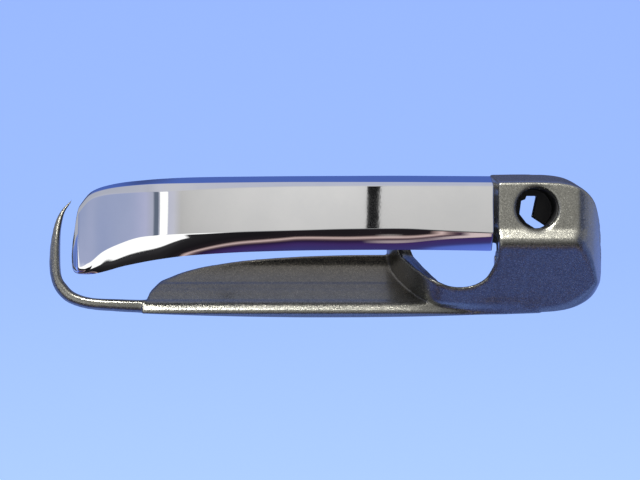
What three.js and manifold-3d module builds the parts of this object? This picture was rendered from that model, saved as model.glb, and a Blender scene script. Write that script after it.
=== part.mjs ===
// Car door pull-strap handle, left-hand front door.
// Millimetres. +X along the handle towards the lock end, +Z up, outward face towards -Y.
// Y = 0 is the plane where the handle seats on the outside of the door skin.
import * as THREE from 'three';
import { mergeVertices } from 'three/addons/utils/BufferGeometryUtils.js';
import Module from 'manifold-3d';

const wasm = await Module();
wasm.setup();

// ---------------------------------------------------------------- driving dimensions
const GAP = 0.3; // clearance between neighbouring pieces
const WALL = 2.6; // bezel moulding wall
const SHELL = 2.0; // lever cover wall
const HINGE_X = -118, HINGE_Y = 12; // lever hinge axis, along Z
const PIN_R = 3.0; // hinge pin radius
const BUSH_R = 4.4; // hinge bush outer radius
const LOCK_X = 106.9, LOCK_Z = 1.6, LOCK_R = 10.25; // key cylinder bore
const CRANK_Y = 28, CRANK_Z = -26; // bellcrank pivot, along X
const CRANK_ARM = 30; // pivot to drive finger
const CRANK_REST = (27 * Math.PI) / 180; // drive arm angle behind vertical at rest
const FINGER_R = 3.0;
const ARM_OUT = 24; // pivot to rod clip
const STUD_R = 3.0; // M6 mounting studs
const STUD_L = [-55, 0]; // left stud X, Z
const STUD_RR = [131, -30]; // right stud X, Z
const SKIN = 1.6; // door skin and sealing land between the seat and the nuts

// ---------------------------------------------------------------- helpers
const lerp = (a, b, t) => a + (b - a) * t;
const clamp = (v, a, b) => Math.min(b, Math.max(a, v));
const smooth = (a, b, v) => { const t = clamp((v - a) / (b - a), 0, 1); return t * t * (3 - 2 * t); };
// piecewise-linear table lookup on rows [key, v1, v2, ...]
function look(table, k, col = 1) {
  if (k <= table[0][0]) return table[0][col];
  for (let i = 1; i < table.length; i++)
    if (k <= table[i][0]) {
      const a = table[i - 1], b = table[i];
      return lerp(a[col], b[col], (k - a[0]) / (b[0] - a[0]));
    }
  return table[table.length - 1][col];
}
// triangles of a simple polygon that use every vertex, straight runs included
function earClip(pts) {
  let area = 0;
  pts.forEach((p, i) => { const q = pts[(i + 1) % pts.length]; area += p[0] * q[1] - q[0] * p[1]; });
  const s = area > 0 ? 1 : -1, left = pts.map((_, i) => i), out = [];
  const turn = (a, b, c) => s * ((b[0] - a[0]) * (c[1] - a[1]) - (b[1] - a[1]) * (c[0] - a[0]));
  while (left.length > 3) {
    let best = -1, bestScore = -Infinity;
    for (let k = 0; k < left.length; k++) {
      const n = left.length, ia = left[(k + n - 1) % n], ib = left[k], ic = left[(k + 1) % n];
      const a = pts[ia], b = pts[ib], c = pts[ic], cr = turn(a, b, c);
      if (cr <= 1e-7) continue;
      if (left.some((j) => j !== ia && j !== ib && j !== ic && turn(a, b, pts[j]) > -1e-9 && turn(b, c, pts[j]) > -1e-9 && turn(c, a, pts[j]) > -1e-9)) continue;
      const l = Math.max(Math.hypot(a[0] - b[0], a[1] - b[1]), Math.hypot(c[0] - b[0], c[1] - b[1]), Math.hypot(a[0] - c[0], a[1] - c[1]));
      const score = cr / (l * l);
      if (score > bestScore) { bestScore = score; best = k; }
    }
    if (best < 0) best = left.findIndex((_, k) => Math.abs(turn(pts[left[(k + left.length - 1) % left.length]], pts[left[k]], pts[left[(k + 1) % left.length]])) <= 1e-7);
    if (best < 0) throw new Error('outline crosses itself');
    const n = left.length;
    out.push([left[(best + n - 1) % n], left[best], left[(best + 1) % n]]);
    left.splice(best, 1);
  }
  out.push(left.slice());
  return out;
}
// closed solid through rings of 3-D points, all rings the same length, flat end caps
function loft(rings, capUV) {
  const n = rings[0].length, pos = [], idx = [];
  rings.forEach((r) => r.forEach((p) => pos.push(...p)));
  for (let s = 0; s < rings.length - 1; s++)
    for (let i = 0; i < n; i++) {
      const a = s * n + i, b = s * n + ((i + 1) % n), c = a + n, d = b + n;
      idx.push(a, b, d, a, d, c);
    }
  const cap = (s, flip) => {
    earClip(rings[s].map((p) => capUV(p))).forEach(([a, b, c]) => (flip ? idx.push(s * n + c, s * n + b, s * n + a) : idx.push(s * n + a, s * n + b, s * n + c)));
  };
  cap(0, true);
  cap(rings.length - 1, false);
  const g = new THREE.BufferGeometry();
  g.setAttribute('position', new THREE.Float32BufferAttribute(pos, 3));
  g.setIndex(idx);
  return g;
}
function solid(geo) {
  let g = geo.index ? geo.clone() : geo;
  g.deleteAttribute('normal');
  g.deleteAttribute('uv');
  g = mergeVertices(g, 1e-4);
  const make = (v) => new wasm.Manifold(new wasm.Mesh({ numProp: 3, vertProperties: g.attributes.position.array, triVerts: v }));
  const tri = new Uint32Array(g.index.array);
  const m = make(tri);
  if (m.volume() >= 0) return m;
  for (let i = 0; i < tri.length; i += 3) [tri[i + 1], tri[i + 2]] = [tri[i + 2], tri[i + 1]];
  return make(tri);
}
function geometryOf(m) {
  const mesh = m.getMesh(), np = mesh.numProp, n = mesh.vertProperties.length / np;
  const pos = new Float32Array(n * 3);
  for (let i = 0; i < n; i++) for (let k = 0; k < 3; k++) pos[i * 3 + k] = mesh.vertProperties[i * np + k];
  const g = new THREE.BufferGeometry();
  g.setAttribute('position', new THREE.BufferAttribute(pos, 3));
  g.setIndex(Array.from(mesh.triVerts));
  g.computeVertexNormals();
  return g;
}
const join = (...s) => s.reduce((a, b) => a.add(b));
const cut = (a, ...s) => s.reduce((x, y) => x.subtract(y), a);
const box = (x0, x1, y0, y1, z0, z1) => {
  const g = new THREE.BoxGeometry(x1 - x0, y1 - y0, z1 - z0);
  g.translate((x0 + x1) / 2, (y0 + y1) / 2, (z0 + z1) / 2);
  return solid(g);
};
// cylinders along each axis
const cylY = (r, y0, y1, x, z, n = 20) => { const g = new THREE.CylinderGeometry(r, r, y1 - y0, n); g.translate(x, (y0 + y1) / 2, z); return solid(g); };
const cylZ = (r, z0, z1, x, y, n = 20) => { const g = new THREE.CylinderGeometry(r, r, z1 - z0, n); g.rotateX(Math.PI / 2); g.translate(x, y, (z0 + z1) / 2); return solid(g); };
const cylX = (r, x0, x1, y, z, n = 20) => { const g = new THREE.CylinderGeometry(r, r, x1 - x0, n); g.rotateZ(Math.PI / 2); g.translate((x0 + x1) / 2, y, z); return solid(g); };
// prism along Y from an outline of [x, z]
const prismY = (pts, y0, y1) => solid(loft([y0, y1].map((y) => pts.map(([x, z]) => [x, y, z])), (p) => [p[0], p[2]]));
// prism along X from an outline of [y, z]
const prismX = (pts, x0, x1) => solid(loft([x0, x1].map((x) => pts.map(([y, z]) => [x, y, z])), (p) => [p[1], p[2]]));
// prism along Z from an outline of [x, y]
const prismZ = (pts, z0, z1) => solid(loft([z0, z1].map((z) => pts.map(([x, y]) => [x, y, z])), (p) => [p[0], p[1]]));
// inward offset of a closed polygon [[a, b], ...]
function inset(pts, d) {
  let area = 0;
  pts.forEach((p, i) => { const q = pts[(i + 1) % pts.length]; area += p[0] * q[1] - q[0] * p[1]; });
  const s = area > 0 ? 1 : -1, n = pts.length;
  return pts.map((p, i) => {
    const a = pts[(i + n - 1) % n], b = pts[(i + 1) % n];
    const e1 = [p[0] - a[0], p[1] - a[1]], e2 = [b[0] - p[0], b[1] - p[1]];
    const l1 = Math.hypot(...e1) || 1, l2 = Math.hypot(...e2) || 1;
    const n1 = [-e1[1] / l1 * s, e1[0] / l1 * s], n2 = [-e2[1] / l2 * s, e2[0] / l2 * s];
    const m = [n1[0] + n2[0], n1[1] + n2[1]], k = (2 * d) / Math.max(0.5, m[0] * m[0] + m[1] * m[1]);
    return [p[0] + m[0] * k, p[1] + m[1] * k];
  });
}

// ---------------------------------------------------------------- bezel outline (X, Z)
const OUT_BOTTOM = [[-97.5, -53.4], [-67.1, -54.6], [-40.6, -55.3], [-14, -55.7], [12.5, -55.7], [39.1, -55.4], [71, -54.6], [92.2, -54.1], [113.5, -53.3], [124.1, -52.3], [132.1, -50.2], [139, -46.4], [142.7, -42.4], [145.2, -36], [146.1, -27.8]];
const OUT_TOP = [[86.8, 20.4], [102.8, 20.6], [116.1, 20.3], [124.1, 19.2], [129.4, 17.1], [134.7, 13.1], [139, 7.8], [142.2, 0.4], [144.3, -6.5], [145.5, -17.2], [146.1, -27.6]];
// rim: outer and inner edge pairs, from the free tip down to the bottom rail
const RIM_OUT = [[-135.3, 7.1], [-138.4, 5.2], [-140.5, 3.6], [-143.1, 0.4], [-144.7, -2.8], [-145.8, -6], [-146.6, -9.2], [-147.1, -14.5], [-147.4, -20.9], [-147.4, -27.2], [-146.8, -33.1], [-145.2, -38.9], [-142.6, -43.2], [-138.3, -47.2], [-133, -49.6], [-125.6, -51.4], [-109.6, -52.7], [-95.5, -53.5]];
const RIM_IN = [[-134.9, 6.6], [-135.6, 5], [-136.2, 3.5], [-137.8, 0.3], [-138.5, -2.9], [-139.3, -6], [-139.9, -9.2], [-140.7, -15], [-140.9, -21], [-140.9, -28], [-140.6, -33.2], [-139.6, -36], [-138.3, -37.8], [-135.6, -40.9], [-132.5, -42.8], [-125.5, -44.8], [-109.2, -45.6], [-95.5, -46]];
// cup wall: Z against height above the seat plane
const CUP = [[-56, 1.2], [-54.6, 2.6], [-53.2, 5], [-51.8, 7.2], [-50.3, 8], [-48.5, 7], [-46.5, 6], [-44.5, 3.5], [-42, -2], [-40, -7], [-36, -15.5], [-32, -21.5], [-28, -24.8], [-24, -26], [-17, -26]];
// free upper edge of the cup (X, Z)
const CUP_EDGE = [[-95.6, -46.5], [-95.1, -44.2], [-94.1, -41.7], [-92.4, -39.7], [-89.8, -36.9], [-84.7, -34.6], [-79.6, -32.5], [-68.9, -29.5], [-58.1, -27.6], [-47.2, -26], [-36.2, -24.9], [-14.3, -23.5], [10.3, -22.7], [31.5, -22.5]];
// grip mouth beside the lock block: X, Z and height of its front edge
const MOUTH = [[38.6, -17, -1], [40.2, -22.5, 0.5], [42.1, -24.6, 4.4], [44.1, -26.6, 7.8], [46.5, -28.9, 11.5], [48.9, -30.7, 14.8], [51.9, -33, 17.4], [55.4, -34.8, 19.6], [58.5, -36.3, 19.9], [61.7, -37.7, 19], [65.4, -38.7, 17.8], [69.6, -39, 17.5], [73.8, -38.7, 17.8], [77.3, -37.7, 19], [80.8, -35.8, 21], [83.1, -33.7, 23.4], [84.8, -30.5, 26.8], [86.2, -26.8, 30.8], [87, -22.7, 35.3], [87, -12, 44]];

const slopeH = (z) => 1.2 + 1.09 * (z + 54); // lower slope of the lock block
const cupH = (x, z) => { const h = look(CUP, z); return h > 0 ? h * (1 - 0.45 * smooth(45, 72, x)) : h; };
const tongueH = (x, z) => slopeH(z) - 0.081 * Math.max(0, 61 - x) ** 2;

// ---------------------------------------------------------------- bezel housing
// thick sheet from a front profile [[u, h], ...]: the profile and its offset towards the rear
function sheet(profile, t) {
  const n = profile.length;
  const back = profile.map((p, i) => {
    const a = profile[Math.max(0, i - 1)], b = profile[Math.min(n - 1, i + 1)], l = Math.hypot(b[0] - a[0], b[1] - a[1]);
    return [p[0] + (t * (b[1] - a[1])) / l, p[1] - (t * (b[0] - a[0])) / l];
  });
  return [...profile, ...back.reverse()];
}
function rail() {
  const zs = [-53.2, -51.8, -50.3, -48.5, -46.4], xs = [-97.5, -84, -67, -40, -14, 12, 36, 42, 45, 47.5, 50, 52.5, 55, 58, 61, 66, 72, 80, 90];
  return solid(loft(xs.map((x) => {
    const zo = look(OUT_BOTTOM, x), top = (z) => Math.max(cupH(x, z), tongueH(x, z));
    return [[0, zo], [1.2, zo + 0.01], ...zs.map((z) => [top(z), z]), [0, -46.4]].map(([h, z]) => [x, -h, z]);
  }), (p) => [p[2], p[1]]));
}
function cupWall() {
  const zs = [-47.6, -46.4, -45.4, -44.4, -43.2, -42, -41, -40, -38, -36, -34, -32, -30, -27, -24, -20.5, -17];
  const xs = [-97.5, -40, 20, 45, 52, 60];
  return solid(loft(xs.map((x) => sheet(zs.map((z) => [z, cupH(x, z)]), WALL).map(([z, h]) => [x, -h, z])), (p) => [p[2], p[1]]));
}
// sheet that carries the lower slope of the lock block round into the end of the cup
function tongue() {
  const zs = [-50, -48, -46, -44, -42, -40, -38, -36, -34, -32, -30, -28, -26, -24, -22, -20, -17];
  return solid(loft(zs.map((z) => {
    const d = Math.sqrt((slopeH(z) - cupH(0, z) + 3.5) / 0.081), prof = [];
    for (let i = 0; i <= 13; i++) { const x = 61 - d * (1 - i / 13); prof.push([x, tongueH(x, z)]); }
    prof.push([90, slopeH(z)]);
    return sheet(prof, WALL + 0.3).map(([x, h]) => [x, -Math.max(h, z < -47 ? 0 : -40), z]);
  }), (p) => [p[0], p[1]]));
}
function rimSolid() {
  return solid(loft(RIM_OUT.map((o, i) => {
    const n = RIM_IN[i], f = (t) => [lerp(o[0], n[0], t), lerp(o[1], n[1], t)];
    const k = 0.3 + 0.7 * smooth(0, 6, i);
    return [[0, 0], [0, 1.3 * k], [0.25, 4.4 * k], [0.5, 5.9 * k], [0.72, 6.2 * k], [1, 5 * k], [1, 0]].map(([t, h]) => { const p = f(t); return [p[0], -h, p[1]]; });
  }), (p) => (Math.abs(p[0] + 95.5) < 1 ? [p[2], p[1]] : [p[0] - p[2], p[1]])));
}
// outer and inner skins of the lock block, as sections across X
const END_H = [[128, 42], [131, 40.3], [134, 36.6], [137, 30.6], [140, 22.6], [142.5, 14.6], [144.5, 7.4], [146.1, 1.4]];
function blockLoft(x0, x1, off, rear) {
  const xs = [x0, 92, 100, 108, 116, 122, 126, 128.2, 130, 132, 134, 136, 138, 140, 141.6, 143, 144.3, 145.3, 146].filter((x) => x >= x0 && x < x1 - 0.3);
  xs.push(x1);
  return solid(loft(xs.map((x) => {
    const xe = x + off * 1.05, zb = look(OUT_BOTTOM, Math.min(xe, 146.1)) + off, zt = look(OUT_TOP, Math.min(xe, 146.1)) - off;
    const full = look(END_H, xe) - off;
    const span = Math.max(0.4, zt - zb);
    const top = Math.min(5.2, span * 0.4), z2 = zt - top;
    const z1 = Math.min(Math.max(-54 + (full + off * 1.48 - 1.2) / 1.09 - 0.2, zb + Math.max(0.1, full - 1.2) / 2.4), zb + span * 0.55);
    const ridge = smooth(129.5, 122, xe) * (off > 0 ? 0.3 : 1);
    const s = (t) => lerp(z1, z2, t);
    const pts = [[-rear, zb], [Math.min(1.2, full), zb + 0.02]];
    for (const t of [0.25, 0.5, 0.75]) pts.push([lerp(Math.min(1.2, full), full, t), lerp(zb, z1, t)]);
    pts.push([full, z1], [full + 1.9 * ridge, s(0.05)], [full + 2.6 * ridge, s(0.12)], [full + 2.2 * ridge, s(0.2)], [full + 0.5 * ridge, s(0.26)], [full, s(0.3)], [full, s(0.65)], [full, z2]);
    pts.push([lerp(full, Math.min(1.2, full), 0.5), lerp(z2, zt, 0.5)], [Math.min(1.2, full), zt - 0.02], [-rear, zt]);
    return pts.map(([h, z]) => [x, -h, z]);
  }), (p) => [p[2], p[1]]));
}
const mouthCut = () => solid(loft([-60, -45, -36, -30, -25, -21, -18, -15, -12, -9, -6, -3, 0, 3, 6, 10, 16, 24, 45].map((y) => MOUTH.map(([x, z, h]) => {
  const k = 1.0 * clamp((60 - x) / 20, 0, 1);
  return [x + k * (y + h), y, z];
})), (p) => [p[0], p[2]]));

const lockBoss = [LOCK_X, LOCK_Z];
function bezel() {
  const low = join(rail(), cut(cupWall(), prismY([...CUP_EDGE, [34, -22.5], [37, -12], [-110, -12], [-110, -46.5]], -20, 45), prismY([[38, -12], [38, -26], [42, -34], [45.5, -38], [49.5, -41], [55.5, -44.5], [63, -45.6], [63, -12]], -20, 45)), tongue());
  let blk = cut(blockLoft(86.8, 146.1, 0, 0), blockLoft(89.8, 142.4, 3, 2));
  // screw columns, stud column and lock collar stand inside the block's skin
  const inner = join(cylY(3.2, -40.5, -9.3, 93.6, 13.2, 20), cylY(3.6, -41, -9.3, 94.2, -12.6, 20), cylY(6.2, -29, 0, ...STUD_RR, 22), cylY(15.2, -40.5, -15, ...lockBoss, 40));
  blk = join(blk, inner.intersect(blockLoft(86.8, 146.1, 0, 0)));
  let b = join(low, rimSolid(), blk);
  b = cut(b, mouthCut(),
    cylY(LOCK_R, -60, -34, ...lockBoss, 48), // key cylinder bore through the front wall
    cylY(12.2, -38.6, -10, ...lockBoss, 40), // seat of the lock sleeve
    cylY(13.9, -17.8, -16.2, ...lockBoss, 40), // groove of the retaining clip
    box(80, 91.5, -9.6, 3, -16.6, 16.6), // notch for the chassis
    cylY(1.35, -24, 0, 93.6, 13.2, 16), cylY(1.35, -24, 0, 94.2, -12.6, 16),
    cylY(STUD_R + GAP, -16, 1, ...STUD_RR, 24),
    box(-88, 78, -1.5, 1, -53.3, -50.1)); // groove of the foam seal
  return b;
}

// ---------------------------------------------------------------- lever
// rows: X, then Z and height of: rear top edge, front top edge, face top crease, face bottom crease, rear bottom edge
const LEVER = [
  // x,      Tz,    Th,   TBz,  TBh,  FTz,  FTh,  FBz,   FBh,  Bz,    Bh
  [-134.1, -18.5, 8.2, -19, 8.6, -20, 9, -26, 9, -28.4, 8.2],
  [-133.4, -13.5, 8.8, -14, 9.6, -15.5, 10.4, -28, 10.2, -30.4, 8.8],
  [-132.4, -8.5, 9.2, -9, 10.8, -10.5, 11.8, -29.2, 11.4, -31.6, 9.3],
  [-131.2, -1, 10.4, -1.6, 12.2, -3.4, 13.4, -30, 12.8, -32.2, 10],
  [-129.8, 4.6, 11.6, 3.8, 13.8, 1.2, 15, -30.6, 14.2, -32.7, 11],
  [-127, 8.4, 12.6, 7.4, 15.4, 4.2, 17, -31, 15.9, -32.8, 12.2],
  [-124, 10.7, 13.6, 9.4, 16.8, 6.4, 18.6, -29, 17.7, -32.6, 13.8],
  [-120.5, 12.4, 14.6, 10.6, 18.2, 8.2, 20.4, -25.2, 19.8, -32.2, 15.4],
  [-117, 13.4, 15.6, 11.6, 20.2, 9.2, 22.8, -21.6, 22.8, -31.2, 18],
  [-113, 14.3, 17.2, 12.3, 22.8, 9.4, 25.4, -19.6, 25.6, -30.4, 20.4],
  [-108.5, 15.1, 19, 12.8, 26, 9.5, 28.4, -17.6, 28.8, -28.8, 23],
  [-104, 15.7, 20.8, 13.2, 29, 9.6, 31.4, -15.8, 31.6, -27.8, 25.4],
  [-99, 16.1, 22.6, 13.5, 32.4, 9.7, 34.8, -14, 34.8, -26.8, 28],
  [-94, 16.5, 24.4, 13.8, 35.2, 9.8, 37.6, -12.9, 37.6, -25.8, 30.2],
  [-89, 16.9, 26, 14, 37.2, 9.9, 39.6, -12.5, 39.6, -24.9, 32],
  [-83, 17.2, 27.4, 14.2, 38.8, 10, 41.3, -12.1, 41.3, -24, 33.4],
  [-74, 17.6, 29, 14.3, 40.3, 10.4, 43, -11.6, 43, -22.8, 34.6],
  [-60, 17.9, 30.2, 14.5, 41.4, 11.2, 44.3, -11.1, 44.3, -21.7, 35.6],
  [-40, 18.1, 31, 14.7, 42.4, 12, 45.3, -10.4, 45.3, -20.6, 36.4],
  [-14, 18.3, 31.8, 14.9, 43, 12.6, 46, -9.7, 46, -19.9, 37],
  [12, 18.4, 31.9, 14.9, 43, 12.8, 46, -9, 46, -19.6, 37],
  [37, 18.5, 31.6, 14.9, 42.6, 12.9, 45.6, -8.8, 45.6, -19.5, 36.6],
  [60, 18.4, 31, 14.8, 42.2, 12.9, 45.1, -9.9, 45.1, -19.7, 35.8],
  [84.4, 18.3, 30.6, 14.7, 41.6, 12.8, 44.4, -11, 44.4, -20.1, 34.8]];
const leverRow = (x) => LEVER[0].map((_, c) => look(LEVER, x, c));
const bellyTop = (x) => 0.5 * smooth(-130, -90, x);
function leverSection(x) {
  const [, tz, th, tbz, tbh, ftz, fth, fbz, fbh, bz, bh] = leverRow(x);
  const w = Math.max(0.3, tz - bz), e = Math.min(1.2, w * 0.06);
  return [[th, tz], [lerp(th, tbh, 0.6), lerp(tz, tbz, 0.5)], [tbh, tbz], [fth, ftz], [Math.max(fth, fbh) + bellyTop(x), lerp(ftz, fbz, 0.5)], [fbh, fbz],
    [lerp(fbh, bh, 0.5) + 0.7 * bellyTop(x), lerp(fbz, bz, 0.5) - 0.7 * bellyTop(x)], [bh, bz], [bh - e, bz + e], [th - e, tz - e]];
}
// section of the space inside the cover, open to the rear
function leverCore(x, d, rearBy) {
  const s = inset(leverSection(x), d), q = s.slice(0, 8);
  const top = q[0], bot = q[7];
  return [...q, [bot[0] - rearBy, bot[1] + 0.2], [Math.min(top[0], bot[0]) - rearBy - 0.5, lerp(bot[1], top[1], 0.5)], [top[0] - rearBy, top[1] - 0.2]];
}
const sect = (x, pts) => pts.map(([h, z]) => [x, -h, z]);
const yz = (p) => [p[2], p[1]];
const CORE_XS = [-123, -119, -114, -108.5, -104, -99, -94, -89, -83, -74, -60, -40, -14, 12, 37, 60];
const LEG = { x0: 75.5, x1: 80.5, z0: -6.5, z1: 10.2, yEnd: 49 };
const slotY = CRANK_Y + CRANK_ARM * Math.sin(CRANK_REST);
const SCREWS = [[-92, 2], [66, 2]];
function cover() {
  const skin = solid(loft(LEVER.map((r) => sect(r[0], leverSection(r[0]))), yz));
  const hollow = solid(loft([-124, ...CORE_XS, 82.2].map((x) => sect(x, leverCore(x, SHELL, 12))), yz));
  let c = cut(skin, hollow);
  // bosses that take the two cover screws
  for (const [x, z] of SCREWS) {
    const h = leverRow(x)[6];
    c = cut(join(c, cylY(3.2, -h + 1, -h + 7.6, x, z, 20)), cylY(1.2, -h + 2.6, -h + 9, x, z, 14));
  }
  return c;
}
function core() {
  let c = solid(loft([...CORE_XS, 81.9].map((x) => sect(x, leverCore(x, SHELL + GAP, 1.4))), yz));
  // hinge arm and knuckle
  const arm = prismZ([[-122.8, -15.5], [-108, -17], [-108, -20], [-104, -20.5], [-104, -17], [-110, -8], [-111.6, 6], [-111.4, HINGE_Y], [-124.6, HINGE_Y], [-125, 4], [-124.2, -8]], -10.4, 1.6);
  const knuckle = cylZ(7, -10.4, 1.6, HINGE_X, HINGE_Y, 26);
  // drive leg with the slot that captures the bellcrank finger
  const leg = prismX([[-33, LEG.z0], [-33, LEG.z1], [LEG.yEnd - 3, LEG.z1], [LEG.yEnd, LEG.z1 - 3], [LEG.yEnd, LEG.z0 + 3], [LEG.yEnd - 3, LEG.z0]], LEG.x0, LEG.x1);
  const slot = box(LEG.x0 - 1, LEG.x1 + 1, slotY - 4.1, slotY + 4.1, -2.9, 7.4);
  // stop posts that land on the rubber bumpers
  const postL = cylY(4, -29, -14.6, -84, 0, 20), postR = cylY(4, -34, -14.6, 66, -9, 20);
  c = join(c, arm, knuckle, leg, postL, postR);
  c = cut(c, cylZ(BUSH_R + GAP, -12, 4, HINGE_X, HINGE_Y, 24), slot);
  for (const [x, z] of SCREWS) {
    const h = leverRow(x)[6];
    c = cut(c, cylY(3.5, -h, -h + 7.9, x, z, 20), cylY(2.0, -h, 0, x, z, 16), cylY(3.7, -h + 10.2, 0, x, z, 20));
  }
  return c;
}
const coverScrew = ([x, z]) => {
  const h = leverRow(x)[6];
  return cut(join(cylY(0.9, -h + 3.2, -h + 11, x, z, 14), cylY(3.2, -h + 10.6, -h + 12.8, x, z, 20)), box(x - 2, x + 2, -h + 11.8, -h + 14, z - 0.4, z + 0.4), box(x - 0.4, x + 0.4, -h + 11.8, -h + 14, z - 2, z + 2));
};

// ---------------------------------------------------------------- chassis
const chassisZ = [[-112, -14.2, 5.8], [-104, -14.4, 6.2], [-80, -14.8, 11], [-60, -15.6, 15.4], [40, -16, 16], [102, -16, 16]];
function chassis() {
  const xs = [-106, -100, -80, -60, 0, 60, 101];
  const bar = solid(loft(xs.map((x) => {
    const a = look(chassisZ, x, 1), b = look(chassisZ, x, 2);
    return [[x, 0, a], [x, -7.4, a], [x, -9, a + 2], [x, -9, b - 2], [x, -7.4, b], [x, 0, b]];
  }), yz));
  const earPts = [[-104, -8.8], [-104, -0.5], [-108.5, 12], [-110, 16.5], [-113.5, 19.4], [-118, 20.4], [-122.5, 19.2], [-125.4, 15.8], [-126, 11], [-124.6, 3], [-120, -4], [-112, -8.8]];
  const up = prismZ(earPts, 2.2, 5.8), lo = prismZ(earPts, -14.2, -11);
  const fork = box(-106.5, -103.5, -8.8, 0, -14.2, 5.8);
  const plate = join(box(90.3, 101, -9, 0, -16, 16), box(90.3, 118, -4, 0, -40, -13.5));
  const earP = (x0, x1) => prismX([[-3, -38], [18, -37], [CRANK_Y + 5, CRANK_Z - 8], [CRANK_Y + 8, CRANK_Z - 3], [CRANK_Y + 8, CRANK_Z + 3], [CRANK_Y + 5, CRANK_Z + 7], [CRANK_Y - 6, CRANK_Z + 8], [5, -17.6], [-3, -17.2]], x0, x1);
  let c = join(bar, fork, up, lo, plate, earP(94, 97.5), earP(111.5, 115));
  // stiffening ribs on the rear face
  c = join(c, box(-46, 70, 0, 5, 9.2, 11.2), box(-46, 70, 0, 5, -11.2, -9.2));
  c = cut(c,
    cylZ(PIN_R + GAP, -16, 8, HINGE_X, HINGE_Y, 24),
    box(LEG.x0 - 2.5, 84, -12, 8, LEG.z0 - 1.2, LEG.z1 + 1.6), // window for the drive leg
    cylY(2.0, -12, 2, 93.6, 13.2, 16), cylY(2.0, -12, 2, 94.2, -12.6, 16),
    cylY(STUD_R + GAP, -12, 2, ...STUD_L, 24), cylY(6.1, -12, -6.6, ...STUD_L, 22),
    cylY(2.3, -12, 2, -84, 0, 18), cylY(2.3, -12, 2, 66, -9, 18),
    cylX(PIN_R + GAP, 90, 118, CRANK_Y, CRANK_Z, 22));
  // recess of the stud sealing ring
  return cut(c, cut(cylY(13.3, -1.5, 2, ...STUD_L, 40), cylY(7.7, -3, 3, ...STUD_L, 24)));
}
const seal = () => cut(cylY(13, -1.2, 0, ...STUD_L, 40), cylY(8, -3, 1, ...STUD_L, 24));
const bumper = (x, z) => join(cylY(3.9, -14.3, -9.3, x, z, 24), cylY(2.0, -10, -1, x, z, 18));
const chassisScrew = (x, z) => cut(join(cylY(1.05, -22, 0.6, x, z, 14), cylY(3.2, 0.3, 2.6, x, z, 20)), box(x - 2, x + 2, 1.6, 4, z - 0.4, z + 0.4), box(x - 0.4, x + 0.4, 1.6, 4, z - 2, z + 2));

// ---------------------------------------------------------------- hinge parts
const hingePin = () => cut(join(cylZ(PIN_R, -16.6, 6.4, HINGE_X, HINGE_Y, 22), cylZ(4.6, 6.1, 7.6, HINGE_X, HINGE_Y, 22)), cut(cylZ(5, -16, -15.1, HINGE_X, HINGE_Y, 22), cylZ(2.3, -17, -14, HINGE_X, HINGE_Y, 24)));
const bush = (z0, z1, zf0, zf1) => cut(join(cylZ(BUSH_R, z0, z1, HINGE_X, HINGE_Y, 22)), cylZ(PIN_R + GAP, z0 - 1, z1 + 1, HINGE_X, HINGE_Y, 22));
// retaining ring with an open mouth, about a Z axis
const ring = (x, y, z, ri, ro, t) => cut(cylZ(ro, z, z + t, x, y, 22), cylZ(ri, z - 1, z + 2, x, y, 24), box(x - 1.5, x + 1.5, y, y + 9, z - 1, z + 2));

// ---------------------------------------------------------------- lock sleeve
const KEYWAY = [[104.1, 8.5], [109.4, 8.5], [107.1, -2.4], [114.1, -7], [111.6, -8.2], [108.4, -8.4], [104, -5.6], [100.4, -1], [101.3, 5.9], [103.4, 6.6]];
function sleeve() {
  let s = cylY(11.9, -38.2, -13.6, ...lockBoss, 40);
  s = cut(s, cylY(10.3, -45, -20, ...lockBoss, 40), prismY(KEYWAY, -22, -10));
  // groove for the retaining clip
  return cut(s, cut(cylY(15, -17.8, -16.2, ...lockBoss, 40), cylY(11.0, -18.5, -15, ...lockBoss, 40)));
}
function lockClip() {
  const [x, z] = lockBoss, o = [], a0 = (-245 * Math.PI) / 180, a1 = (65 * Math.PI) / 180;
  for (let i = 0; i <= 28; i++) { const a = lerp(a0, a1, i / 28); o.push([x + 13.55 * Math.cos(a), z + 13.55 * Math.sin(a)]); }
  for (let i = 28; i >= 0; i--) { const a = lerp(a0, a1, i / 28); o.push([x + 11.35 * Math.cos(a), z + 11.35 * Math.sin(a)]); }
  return prismY(o, -17.5, -16.5);
}

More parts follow.
